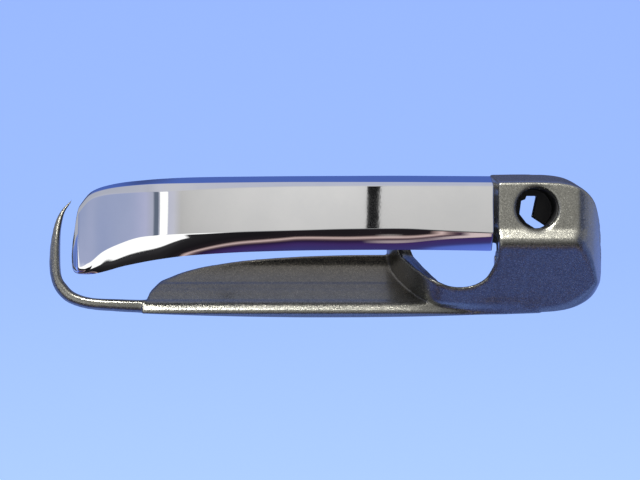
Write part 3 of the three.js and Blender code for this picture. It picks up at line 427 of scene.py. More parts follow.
def mat_chrome():
    m, nt, p = new_mat("lever_chrome")
    co = coords(nt)
    haze = noise(nt, co, 60.0, 4.0, 0.6)
    nt.links.new(ramp(nt, haze.outputs["Fac"], [(0.3, (0.83, 0.835, 0.84)), (0.7, (0.875, 0.875, 0.875))]), p.inputs["Base Color"])
    p.inputs["Metallic"].default_value = 1.0
    nt.links.new(span(nt, haze.outputs["Fac"], 0.012, 0.04, 0.3, 0.75), p.inputs["Roughness"])
    wave = noise(nt, co, 28.0, 1.0)
    fine = noise(nt, co, 900.0, 2.0)
    n1 = bump(nt, wave.outputs["Fac"], 0.05, 0.0006)
    nt.links.new(bump(nt, fine.outputs["Fac"], 0.02, 0.00004, n1), p.inputs["Normal"])
    return m


def mat_plastic(name, dark, light, rough, grain=1900.0, strength=0.35):
    m, nt, p = new_mat(name)
    co = coords(nt)
    big, gr = noise(nt, co, 55.0, 4.0), voronoi(nt, co, grain)
    nt.links.new(ramp(nt, big.outputs["Fac"], [(0.3, dark), (0.72, light)]), p.inputs["Base Color"])
    nt.links.new(span(nt, big.outputs["Fac"], rough - 0.07, rough + 0.1, 0.3, 0.7), p.inputs["Roughness"])
    nt.links.new(bump(nt, gr.outputs["Distance"], strength, 0.00015), p.inputs["Normal"])
    p.inputs["Specular IOR Level"].default_value = 0.45
    return m


def mat_metal(name, dark, light, rough, grain=700.0, strength=0.12, stretch=(1, 1, 1)):
    m, nt, p = new_mat(name)
    co = coords(nt)
    mp = node(nt, "ShaderNodeMapping")
    mp.inputs["Scale"].default_value = stretch
    nt.links.new(co, mp.inputs["Vector"])
    big, gr = noise(nt, co, 80.0, 4.0, 0.6), noise(nt, mp.outputs["Vector"], grain, 3.0, 0.6)
    nt.links.new(ramp(nt, big.outputs["Fac"], [(0.3, dark), (0.7, light)]), p.inputs["Base Color"])
    p.inputs["Metallic"].default_value = 1.0
    nt.links.new(span(nt, gr.outputs["Fac"], rough - 0.08, rough + 0.12, 0.25, 0.75), p.inputs["Roughness"])
    nt.links.new(bump(nt, gr.outputs["Fac"], strength, 0.0001), p.inputs["Normal"])
    return m


PAINT, CHROME = mat_paint(), mat_chrome()
NYLON = mat_plastic("black_nylon", (0.010, 0.010, 0.011), (0.022, 0.022, 0.024), 0.52)
SLEEVE = mat_plastic("lock_sleeve_nylon", (0.006, 0.006, 0.007), (0.012, 0.012, 0.013), 0.6)
ACETAL = mat_plastic("natural_acetal", (0.60, 0.57, 0.48), (0.70, 0.67, 0.58), 0.4, 900.0, 0.1)
YELLOW = mat_plastic("yellow_nylon", (0.52, 0.40, 0.03), (0.66, 0.53, 0.06), 0.42, 1200.0, 0.15)
RUBBER = mat_plastic("black_rubber", (0.014, 0.014, 0.014), (0.026, 0.026, 0.026), 0.78, 2600.0, 0.25)
FOAM = mat_plastic("black_foam", (0.016, 0.016, 0.017), (0.034, 0.034, 0.036), 0.92, 1100.0, 0.9)
ZINC = mat_metal("cast_zinc", (0.38, 0.39, 0.41), (0.50, 0.51, 0.53), 0.42, 1400.0, 0.35)
STEEL = mat_metal("bright_steel", (0.50, 0.51, 0.53), (0.62, 0.62, 0.63), 0.28, 900.0, 0.1)
PLATED = mat_metal("zinc_plated_steel", (0.60, 0.57, 0.46), (0.72, 0.70, 0.62), 0.32, 700.0, 0.12)
SPRING = mat_metal("spring_steel", (0.34, 0.35, 0.37), (0.45, 0.46, 0.48), 0.3, 900.0, 0.15)


def dress(ob, mat, body, slot, *nodes):
    ob.data.materials.clear()
    ob.data.materials.append(mat)
    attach(ob, body)
    if nodes:
        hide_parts(*nodes)
    return ob


# ------------------------------------------------------------------ bezel
def slope_h(z):
    return 1.2 + 1.09 * (z + 54) + 2.6 * np.clip((z + 54) / 35, 0, 1.4) ** 1.6


def bezel():
    h = 0.8
    ax, (X, Y, Z) = grid((-147.6, -45.2, -55.9), (146.2, 30, 20.8), h)
    x, y, z = ax
    H = -Y
    X2, Z2 = np.meshgrid(x, z, indexing="ij")
    gx = lambda A: np.gradient(A, h, axis=0)
    gz = lambda A: np.gradient(A, h, axis=1)

    def graph(A):
        return (H - A[:, None, :]) / np.sqrt(1 + gx(A) ** 2 + gz(A) ** 2)[:, None, :]

    # lock block
    zb = pchip(*zip(*OUT_BOTTOM), np.minimum(x, 146.05))[:, None]
    zt = pchip(*zip(*OUT_TOP), np.clip(x, 86.8, 146.05))[:, None]
    face = pchip([-30, -20, -18, -16.5, -15, -13.5, -12, -10.6, -9.5, -8.6, -7, 30], [44.9, 44.9, 44.9, 44.85, 44.7, 44.3, 43.6, 42.8, 42.25, 42.0, 42.0, 42.0], z)[None, :] + 0 * X2
    A = smin(slope_h(Z2), face, 4.0)
    A = smin(A, pchip(*zip(*END_H), x)[:, None] + 0 * X2, 5.5)
    A = smin(A, 1.0 + (zt - Z2) * 7.6, 9.0)
    A = smin(A, 1.2 + (Z2 - zb) * 2.4, 4.0)
    Xc = spline(OUT_BOTTOM[7:], 1.5)
    Xt = spline(OUT_TOP, 1.5)
    outline = [(86.8, -54.3)] + [tuple(p) for p in Xc] + [tuple(p) for p in Xt[::-1]]
    o2 = poly_dist(X2, Z2, outline)
    dg = graph(A)
    lean = (86.8 + 0.112 * (Y + 42) * smoothstep(-9, -15, Z)) - X
    outer = smax(smax(smax(dg, o2[:, None, :], 1.0), lean, 0.8), -H, 0.5)
    inner = smax(smax(dg + 3.0, o2[:, None, :] + 3.0, 2.0), lean + 3.0, 1.0)
    blk = smax(outer, -inner, 0.8)
    col = np.minimum(cyl(X, Z, Y, 93.6, 13.2, 3.2, -41, -9.3, 0.4), cyl(X, Z, Y, 94.2, -12.6, 3.6, -41, -9.3, 0.4))
    col = np.minimum(col, cyl(X, Z, Y, *STUD_RR, 6.2, -29, 0, 0.5))
    col = np.minimum(col, cyl(X, Z, Y, LOCK_X, LOCK_Z, 15.2, -41, -15, 0.5))
    # stiffening ribs from the stud column to the skin
    col = np.minimum(col, np.maximum(bx(X, Y, Z, 129.9, 132.1, -40, -3, -54, 18, 0.3), -cyl(X, Z, Y, LOCK_X, LOCK_Z, 18.5, -60, 5)))
    col = np.minimum(col, bx(X, Y, Z, 118, 146, -30, -3, -31.1, -28.9, 0.3))
    blk = smin(blk, np.maximum(col, outer + 1.4), 0.8)

    # bottom rail with the lip of the hand cup
    cz, chh = zip(*CUP)
    cup1 = pchip(cz, chh, z)[None, :] + 0 * X2
    fade = 1 - 0.76 * smoothstep(42, 88, X2)
    lip = np.where(cup1 > 0, cup1 * fade, cup1)
    tong = slope_h(Z2) - 0.081 * np.maximum(0, 61 - X2) ** 2
    R = smax(lip, tong, 0.8)
    rp = [tuple(p) for p in spline(OUT_BOTTOM[:9], 2.0)] + [(113.5, -46.4), (-97.5, -46.4)]
    rail = smax(smax(graph(R), poly_dist(X2, Z2, rp)[:, None, :], 0.9), -H, 0.5)

    # hand cup
    hh, Zc = np.meshgrid(-y, z, indexing="ij")
    cc = spline([(a, b) for a, b in CUP[6:]], 0.6)
    D = line_dist(Zc, hh, cc) * np.where(hh > pchip(cz, chh, z)[None, :], 1, -1)
    D = np.broadcast_to(D[None], X.shape).copy()
    sheet = smax(D, -(D + 2.6), 0.4)
    tong = tong + 2.6 * (1 - smoothstep(60, 88, X2))
    dt = graph(tong)
    thick = (3.0 + 2.6 * (1 - smoothstep(50, 66, X2)))[:, None, :]
    keep = [tuple(p) for p in spline(CUP_EDGE, 1.2)] + [(60, -22.5), (64, -49), (-97.4, -49), (-97.4, -46.9)]
    cup = smax(sheet, poly_dist(X2, Z2, keep)[:, None, :], 1.6)
    cup = np.maximum(cup, -(dt + 5.0))

    # tongue that carries the block's slope into the end of the cup
    tp = [(33, -17), (33.2, -26), (34.1, -30.8), (37.6, -35.8), (41.5, -39.9), (46.9, -44.0), (53.8, -47.2), (60.7, -49.0), (72.5, -50.0), (90, -50.4), (104, -50.4), (104, -21), (91.5, -21), (91.5, -17)]
    tg = smax(smax(dt, -(dt + thick), 0.4), poly_dist(X2, Z2, tp)[:, None, :], 2.6)
    tg = np.maximum(tg, -(D + 3.0))

    # left rim
    ro, ri = spline(RIM_OUT, 1.0), spline(RIM_IN, 1.0)
    m = x < -92
    XR, ZR = X2[m], Z2[m]
    do, di = line_dist(XR, ZR, ro), line_dist(XR, ZR, ri)
    t = do / (do + di + 1e-6)
    inside = poly_dist(XR, ZR, [tuple(p) for p in ro] + [tuple(p) for p in ri[::-1]])
    t = np.where((inside > 0) & (do < di), 0.0, np.where((inside > 0) & (di <= do), 1.0, t))
    k = 0.32 + 0.68 * smoothstep(0, 26, np.hypot(XR + 135.2, ZR - 7))
    prof = pchip([0, 0.1, 0.25, 0.45, 0.62, 0.76, 0.9, 1.0], [1.0, 2.9, 4.5, 5.75, 6.25, 6.35, 5.9, 5.0], t) * k
    rim = np.full(X.shape, 50, F4)
    gr = np.sqrt(1 + np.minimum(np.gradient(prof, h, axis=0) ** 2 + np.gradient(prof, h, axis=1) ** 2, 4))
    rim[m] = smax(smax((H[m] - prof[:, None, :]) / gr[:, None, :], inside[:, None, :], 0.8), -H[m], 0.5)

    f = smin(rail, cup, 0.7)
    f = smin(f, tg, 1.2)
    f = smin(f, rim, 0.5)
    f = smin(f, blk, 0.6)

    # grip mouth beside the block
    mp = spline(MOUTH, 1.4)
    kk = np.clip((60 - mp[:, 0]) / 20, 0, 1)
    mx = (x > 15) & (x < 96)
    XM, ZM = X2[mx], Z2[mx]
    hole = np.full(X.shape, 50, F4)
    for j, yy in enumerate(y):
        hole[mx, j, :] = poly_dist(XM, ZM, list(zip(mp[:, 0] + kk * (yy + mp[:, 2]), mp[:, 1])))
    # side wall that leads into the mouth, on its left
    wall = smax(hole - 2.4, -hole, 0.3)
    wall = smax(smax(wall, dt + 0.3, 0.3), -(dt + 10.5), 0.6)
    wall = smax(smax(wall, X - 63, 0.5), Z + 18.0, 0.5)
    wall = np.maximum(wall, 24.5 - X)
    f = smin(f, wall, 0.8)
    f = smax(f, -hole, 1.5)

    # key cylinder bore, rounded at its mouth, and its seat behind
    f = smax(f, -cyl(X, Z, Y, LOCK_X, LOCK_Z, LOCK_R, -60, -34), 3.0)
    f = np.maximum(f, -cyl(X, Z, Y, LOCK_X, LOCK_Z, 12.2, -38.6, -10))
    f = np.maximum(f, -cyl(X, Z, Y, LOCK_X, LOCK_Z, 13.9, -17.8, -16.2))
    f = np.maximum(f, -bx(X, Y, Z, 80, 91.5, -9.6, 3, -16.6, 16.6, 0.2))
    for cx_, cz_ in ((93.6, 13.2), (94.2, -12.6)):
        f = np.maximum(f, -cyl(X, Z, Y, cx_, cz_, 1.35, -24, 1))
    f = np.maximum(f, -cyl(X, Z, Y, *STUD_RR, 3.3, -16, 1))
    f = np.maximum(f, -bx(X, Y, Z, -88, 78, -1.5, 1, -53.3, -50.1))
    # gate mark on the top edge
    f = np.maximum(f, -bx(X, Y, Z, 108.2, 112.6, -3.5, 1, 20.1, 24, 0.3))
    v, q, n = nets(f, ax, h, 3)
    return add_mesh("bezel_moulding", v, q, n)


# ------------------------------------------------------------------ lever
LX = np.array([r[0] for r in LEVER])


LT = np.arange(LX[0], LX[-1] + 0.01, 0.25)
RAW = np.stack([pchip(LX, [r[c] for r in LEVER], LT) for c in range(11)], 1)
# fair the section's corners along the lever, except at its two ends
GK = np.exp(-0.5 * (np.arange(-42, 43) / 13.0) ** 2)
GK = GK / GK.sum()
FAIR = np.stack([np.convolve(np.pad(RAW[:, c], 42, mode="edge"), GK, "valid") for c in range(11)], 1)
FW = (smoothstep(-133, -125, LT) * smoothstep(LX[-1] - 11, LX[-1] - 19, LT))[:, None]
ROWS = RAW * (1 - FW) + FAIR * FW


def lever_rows(xs):
    return np.stack([xs] + [np.interp(xs, LT, ROWS[:, c]) for c in range(1, 11)], 1)


def section(row):
    """Corner points (height, z) of the lever's section from the rear top edge round the front to the rear bottom edge."""
    x, tz, th, tbz, tbh, ftz, fth, fbz, fbh, bz, bh = row
    return [(th, tz), (tbh, tbz), (fth, ftz), (fbh, fbz), (bh, bz)]


def rounded(corners, radii, bulge, seg=7, arc=6):
    """Open run of points along the corners with an arc at each inner corner, the same count every time."""
    P = [np.array(c, float) for c in corners]
    cuts = []
    for i in range(1, len(P) - 1):
        a, b, c = P[i - 1], P[i], P[i + 1]
        la, lc = np.linalg.norm(a - b), np.linalg.norm(c - b)
        ang = math.acos(np.clip(np.dot(a - b, c - b) / (la * lc + 1e-9), -1, 1))
        d = min(radii[i - 1] / max(math.tan(ang / 2), 0.05), 0.45 * la, 0.45 * lc)
        cuts.append((b + (a - b) / la * d, b, b + (c - b) / lc * d))
    out = []
    start = P[0]
    for i, (p, b, q) in enumerate(cuts):
        for k in range(seg):
            t = k / seg
            nrm = np.array([(p - start)[1], -(p - start)[0]])
            nrm = nrm / (np.linalg.norm(nrm) + 1e-9)
            out.append(start + (p - start) * t - nrm * bulge[i] * 4 * t * (1 - t))
        for k in range(arc):
            t = k / arc
            out.append((1 - t) ** 2 * p + 2 * t * (1 - t) * b + t * t * q)
        start = q
    end = P[-1]
    nrm = np.array([(end - start)[1], -(end - start)[0]])
    nrm = nrm / (np.linalg.norm(nrm) + 1e-9)
    for k in range(seg + 1):
        t = k / seg
        out.append(start + (end - start) * t - nrm * bulge[-1] * 4 * t * (1 - t))
    return np.array(out)


def loft_mesh(name, rings, caps=True):
    n = len(rings[0])
    v = np.concatenate(rings)
    f = []
    for s in range(len(rings) - 1):
        for i in range(n):
            j = (i + 1) % n
            f.append((s * n + i, s * n + j, (s + 1) * n + j, (s + 1) * n + i))
    if caps:
        f.append(tuple(range(n))[::-1])
        f.append(tuple((len(rings) - 1) * n + i for i in range(n)))
    ob = add_mesh(name, v, f)
    bm = bmesh.new()
    bm.from_mesh(ob.data)
    bmesh.ops.recalc_face_normals(bm, faces=bm.faces)
    bm.to_mesh(ob.data)
    bm.free()
    return ob


def lever_skin(name, xs, off=0.0, rear=0.0, tight=1.0):
    """Closed lever body: the front skin, moved in by off, and a rear face moved back by rear."""
    rings = []
    rows = lever_rows(np.asarray(xs, float))
    for x, row in zip(xs, rows):
        s = smoothstep(-96, -124, x)
        soft = 1.0 + 3.2 * float(s)
        pts = rounded(section(row), [1.0 * soft, 0.9 * soft, 1.3 * soft], [0.02, 0.0, 0.28 + 0.2 * float(s), 0.35])
        if off:
            d = np.gradient(pts, axis=0)
            nn = np.stack([-d[:, 1], d[:, 0]], 1)
            nn /= np.linalg.norm(nn, axis=1, keepdims=True) + 1e-9
            c = pts.mean(0)
            if np.dot(nn[len(nn) // 2], c - pts[len(pts) // 2]) < 0:
                nn = -nn
            pts = pts + nn * off
        a, b = pts[0], pts[-1]
        ext = np.array([-rear, 0.0])
        back = [b + ext, (a + b) / 2 + ext * 1.02 + np.array([-0.2, 0]), a + ext]
        if rear < 0.5:
            e = min(1.2, 0.06 * abs(a[1] - b[1]))
            back = [b + (-e * 0.5, e * 0.3), b + (-e, e), (a + b) / 2 - (e, 0), a + (-e, -e), a + (-e * 0.5, -e * 0.3)]
        ring = np.vstack([pts, np.array(back)])
        rings.append(np.stack([np.full(len(ring), x), -ring[:, 0], ring[:, 1]], 1))
    return rings


def boolean(ob, cutter, op="DIFFERENCE"):
    m = ob.modifiers.new("cut", "BOOLEAN")
    m.object, m.operation, m.solver = cutter, op, "EXACT"
    dg = bpy.context.evaluated_depsgraph_get()
    me = bpy.data.meshes.new_from_object(ob.evaluated_get(dg))
    old = ob.data
    ob.modifiers.clear()
    ob.data = me
    bpy.data.meshes.remove(old)
    bpy.data.objects.remove(cutter, do_unlink=True)


def lever_cover():
    xs = list(-134.1 + (np.linspace(0, 1, 34) ** 1.5) * 14.1) + list(np.linspace(-119, -74, 46)) + list(np.linspace(-72, 83.4, 60))
    rings = lever_skin("skin", xs)
    # soft edge round the flat right end
    last = lever_skin("skin", [84.4])[0]
    c = last.mean(0)
    for dx, inn in ((83.85, 0.03), (84.15, 0.14), (84.33, 0.36), (84.4, 0.62)):
        r = lever_skin("skin", [min(dx, 84.4)])[0]
        d = r - c
        L = np.linalg.norm(d[:, 1:], axis=1, keepdims=True)
        r[:, 1:] -= d[:, 1:] / L * inn
        r[:, 0] = dx
        rings.append(r)
    first = rings[0]
    ob = loft_mesh("lever_chrome_cover", rings)
    cx = [-124] + list(np.linspace(-122, -74, 30)) + list(np.linspace(-70, 82.2, 30))
    cutter = loft_mesh("hollow", lever_skin("hollow", cx, 2.0, 14))
    boolean(ob, cutter)
    me = ob.data
    me.shade_smooth()
    me.set_sharp_from_angle(angle=math.radians(38))
    return ob


def core_polys(xs):
    out = []
    for x, row in zip(xs, lever_rows(np.asarray(xs, float))):
        pts = rounded(section(row), [1.0, 0.9, 1.3], [0.02, 0, 0.28, 0.35], 2, 2)
        out.append(pts)
    return out


def lever_core():
    h = 0.9
    ax, (X, Y, Z) = grid((-126, -44.5, -30), (84, 49.5, 17), h)
    x, y, z = ax
    H = -Y
    Hs, Zs = np.meshgrid(-y, z, indexing="ij")
    body = np.full(X.shape, 50, F4)
    sel = (x > -126) & (x < 84)
    rows = lever_rows(x)
    for i in np.where(sel)[0]:
        pts = rounded(section(rows[i]), [1.0, 0.9, 1.3], [0.02, 0, 0.28, 0.35], 2, 2)
        a, b = pts[0], pts[-1]
        ring = list(pts) + [b + (-6, 0), a + (-6, 0)]
        d = poly_dist(Hs, Zs, ring) + 2.35
        rear = min(a[0], b[0])
        line = (a[0] - 2.3) + (b[0] - a[0]) * (Zs - a[1]) / (b[1] - a[1])  # rear face follows the two rear edges
        dish = 1.6 * np.exp(-(((Zs - (a[1] + b[1]) / 2) / 9.0) ** 2)) * float(smoothstep(-84, -60, x[i]) * (1 - smoothstep(52, 66, x[i])))
        body[i] = np.maximum(d, (line + 0.6 + dish) - Hs)
    body = np.maximum(body, np.maximum(-123.0 - X, X - 81.9))
    arm2 = poly_dist(X, Y, [(-122.8, -15.5), (-108, -17), (-108, -20), (-104, -20.5), (-104, -17), (-110, -8), (-111.6, 6), (-111.4, HINGE_Y), (-124.6, HINGE_Y), (-125, 4), (-124.2, -8)])
    arm = slab(arm2, Z, -10.4, 1.6, 0.6)
    kn = cyl(X, Y, Z, HINGE_X, HINGE_Y, 7, -10.4, 1.6, 0.6)
    lp = [(-33, LEG["z0"]), (-33, LEG["z1"]), (LEG["end"] - 3, LEG["z1"]), (LEG["end"], LEG["z1"] - 3), (LEG["end"], LEG["z0"] + 3), (LEG["end"] - 3, LEG["z0"])]
    leg = slab(poly_dist(Y, Z, lp), X, LEG["x0"], LEG["x1"], 0.5)
    slot_y = CRANK_Y + CRANK_ARM * math.sin(CRANK_REST)
    leg = smax(leg, -bx(X, Y, Z, LEG["x0"] - 2, LEG["x1"] + 2, slot_y - 4.1, slot_y + 4.1, -2.9, 7.4, 0.8), 0.6)
    # lightening pocket in the leg
    leg = smax(leg, -bx(X, Y, Z, LEG["x0"] - 2, LEG["x0"] + 1.2, -6, 32, LEG["z0"] + 3, LEG["z1"] - 3, 0.8), 0.5)
    post = np.minimum(cyl(X, Z, Y, -84, 0, 4, -29, -14.6, 0.5), cyl(X, Z, Y, 66, -9, 4, -34, -14.6, 0.5))
    f = smin(body, arm, 2.2)
    f = smin(f, kn, 1.4)
    f = smin(f, leg, 1.8)
    f = smin(f, post, 1.6)
    f = smax(f, -cyl(X, Y, Z, HINGE_X, HINGE_Y, 4.7, -12, 4), 0.3)
    for sx, sz in SCREWS:
        hh = float(lever_rows([sx])[0][6])
        f = np.maximum(f, -cyl(X, Z, Y, sx, sz, 3.5, -hh, -hh + 7.9))
        f = np.maximum(f, -cyl(X, Z, Y, sx, sz, 2.0, -hh, 0))
        f = smax(f, -cyl(X, Z, Y, sx, sz, 3.7, -hh + 10.2, 0), 0.4)
    v, q, n = nets(f, ax, h, 2)
    return add_mesh("lever_black_core", v, q, n)


# ------------------------------------------------------------------ chassis
def chassis():
    h = 0.75
    ax, (X, Y, Z) = grid((-126.2, -9.2, -40.2), (118.2, 36.2, 16.2), h)
    x, y, z = ax
    lo = np.interp(x, [-112, -104, -80, -60, 40, 102], [-14.2, -14.4, -14.8, -15.6, -16, -16])[:, None, None]
    hi = np.interp(x, [-112, -104, -80, -60, 40, 102], [5.8, 6.2, 11, 15.4, 16, 16])[:, None, None]
    bar = smax(smax(lo - Z, Z - hi, 0.5), smax(-9 - Y, Y, 0.5), 2.2)
    bar = smax(bar, smax(-106.5 - X, X - 101, 0.5), 0.8)
    ear2 = poly_dist(X[:, :, 0], Y[:, :, 0], [tuple(p) for p in spline([(-104, -8.8), (-104, -0.5), (-108.5, 12), (-110, 16.5), (-113.5, 19.4), (-118, 20.4), (-122.5, 19.2), (-125.4, 15.8), (-126, 11), (-124.6, 3), (-120, -4), (-112, -8.8)], 1.0)])[:, :, None]
    up, dn = slab(ear2, Z, 2.2, 5.8, 0.4), slab(ear2, Z, -14.2, -11, 0.4)
    f = smin(bar, up, 1.0)
    f = smin(f, dn, 1.0)
    f = smin(f, bx(X, Y, Z, -106.5, -103.5, -8.8, 0, -14.2, 5.8, 0.4), 0.8)
    f = smin(f, bx(X, Y, Z, 90.3, 101, -9, 0, -16, 16, 0.6), 0.5)
    f = smin(f, bx(X, Y, Z, 90.3, 118, -4, 0, -40, -13.5, 0.6), 1.5)
    e2 = [(-3, -38), (18, -37), (CRANK_Y + 5, CRANK_Z - 8), (CRANK_Y + 8, CRANK_Z - 3), (CRANK_Y + 8, CRANK_Z + 3), (CRANK_Y + 5, CRANK_Z + 7), (CRANK_Y - 6, CRANK_Z + 8), (5, -17.6), (-3, -17.2)]
    d2 = poly_dist(Y[0], Z[0], [tuple(p) for p in e2])[None]
    for a, b in ((94, 97.5), (111.5, 115)):
        ear = slab(d2, X, a, b, 0.5)
        # pocket that leaves a rim round each ear
        ear = smax(ear, -np.maximum(slab(d2 + 2.6, X, a + 2.2, b + 3, 0.3), 5.8 - np.hypot(Y - CRANK_Y, Z - CRANK_Z)), 0.3)
        f = smin(f, ear, 1.4)
    f = smin(f, bx(X, Y, Z, -46, 70, -1, 5, 9.2, 11.2, 0.4), 0.8)
    f = smin(f, bx(X, Y, Z, -46, 70, -1, 5, -11.2, -9.2, 0.4), 0.8)
    # ribbed pockets in the front, hidden while the lever is shut
    for k, cx in enumerate(np.arange(-34, 70, 14.6)):
        if cx < 60:
            f = smax(f, -bx(X, Y, Z, cx - 6.2, cx + 6.2, -12, -4.2, -12.4, 12.4, 1.2), 0.5)
    f = np.maximum(f, -cyl(X, Y, Z, HINGE_X, HINGE_Y, 3.3, -16, 8))
    f = smax(f, -bx(X, Y, Z, LEG["x0"] - 2.5, 84, -12, 8, LEG["z0"] - 1.2, LEG["z1"] + 1.6, 0.6), 0.4)
    for cx, cz in ((93.6, 13.2), (94.2, -12.6)):
        f = np.maximum(f, -cyl(X, Z, Y, cx, cz, 2.0, -12, 2))
    f = np.maximum(f, -cyl(X, Z, Y, *STUD_L, 3.3, -12, 2))
    f = np.maximum(f, -cyl(X, Z, Y, *STUD_L, 6.1, -12, -6.6))
    f = np.maximum(f, -cyl(X, Z, Y, -84, 0, 2.3, -12, 2))
    f = np.maximum(f, -cyl(X, Z, Y, 66, -9, 2.3, -12, 2))
    f = np.maximum(f, -cyl(Y, Z, X, CRANK_Y, CRANK_Z, 3.3, 90, 118))
    ring = np.maximum(cyl(X, Z, Y, *STUD_L, 13.3, -1.5, 2), -cyl(X, Z, Y, *STUD_L, 7.7, -3, 3))
    f = np.maximum(f, -ring)
    v, q, n = nets(f, ax, h, 2)
    return add_mesh("chassis_moulding", v, q, n)


# ------------------------------------------------------------------ small pieces
def cross(X, Z, D, x, z, d0, d1):
    """Cross recess of a screw head, open over d0..d1 along the axis."""
    t = np.minimum(np.maximum(np.abs(X - x) - 1.9, np.abs(Z - z) - 0.42), np.maximum(np.abs(Z - z) - 1.9, np.abs(X - x) - 0.42))
    return np.maximum(t, np.abs(D - (d0 + d1) / 2) - (d1 - d0) / 2)


def screw(name, x, z, r_shank, y0, y1, head_r, hy0, hy1, body, cad, coarse=1.1):
    """Tapping screw along Y with a pan head and a cross recess."""
    def field(X, Y, Z):
        rho, th = np.hypot(X - x, Z - z), np.arctan2(Z - z, X - x)
        ph = ((Y - y0) / coarse + th / (2 * math.pi)) % 1.0
        thr = r_shank - 0.22 + 0.30 * (1 - np.abs(2 * ph - 1)) ** 1.5
        tip = np.minimum(thr, 0.15 + (Y - y0) * 0.8)
        sh = smax((rho - tip) * 0.85, np.abs(Y - (y0 + y1) / 2) - (y1 - y0) / 2, 0.15)
        dome = np.hypot(rho, (Y - (hy1 - head_r * 1.5))) - head_r * 1.5
        hd = smax(smax(rho - head_r, hy0 - Y, 0.2), smax(dome, Y - hy1, 0.2), 0.35)
        f = smin(sh, hd, 0.3)
        return smax(f, -cross(X, Z, Y, x, z, hy1 - 1.0, hy1 + 3), 0.15)
    m = max(head_r, r_shank)
    ob = solid(name, (x - m, y0, z - m), (x + m, hy1, z + m), 0.2, field, 1)
    return dress(ob, PLATED, body, "zinc_plated_steel", cad)


def pin_like(name, axis, u, v, r, w0, w1, head, body, cad, groove, mat=None, hole=None):
    """Headed pin along an axis with a clip groove and chamfered ends."""
    hr, h0, h1 = head
    lo, hi = min(w0, h0), max(w1, h1)

    def field(X, Y, Z):
        U, V, W = (X, Y, Z) if axis == "z" else (Y, Z, X)
        f = smin(cyl(U, V, W, u, v, r, w0, w1, 0.4), cyl(U, V, W, u, v, hr, h0, h1, 0.35), 0.25)
        g0, g1, gr = groove
        return smax(f, -np.maximum(np.abs(W - (g0 + g1) / 2) - (g1 - g0) / 2, gr - np.hypot(U - u, V - v)), 0.1)
    if axis == "z":
        a, b = (u - hr, v - hr, lo), (u + hr, v + hr, hi)
    else:
        a, b = (lo, u - hr, v - hr), (hi, u + hr, v + hr)
    return dress(solid(name, a, b, 0.26, field), mat or STEEL, body, "plain_steel", cad)


def e_clip(name, axis, u, v, w0, w1, ro, ri, mouth, body, cad):
    """Retaining ring with three inner lugs and an open mouth."""
    def field(X, Y, Z):
        U, V, W = (X, Y, Z) if axis == "z" else (Y, Z, X)
        a = np.arctan2(V - v, U - u) - mouth
        rho = np.hypot(U - u, V - v)
        lug = ri + 0.95 * (0.5 - 0.5 * np.cos(3 * a)) ** 1.5
        d = smax(rho - ro, lug - rho, 0.2)
        open_ = np.maximum(np.abs((U - u) * -math.sin(mouth) + (V - v) * math.cos(mouth)) - 1.7, -((U - u) * math.cos(mouth) + (V - v) * math.sin(mouth)))
        return slab(smax(d, -open_, 0.3), W, w0, w1, 0.12)
    if axis == "z":
        a, b = (u - ro, v - ro, w0), (u + ro, v + ro, w1)
    else:
        a, b = (w0, u - ro, v - ro), (w1, u + ro, v + ro)
    return dress(solid(name, a, b, 0.16, field, 1), SPRING, body, "plain_steel", cad)


def at(r, a):
    return CRANK_Y + r * math.sin(a), CRANK_Z + r * math.cos(a)


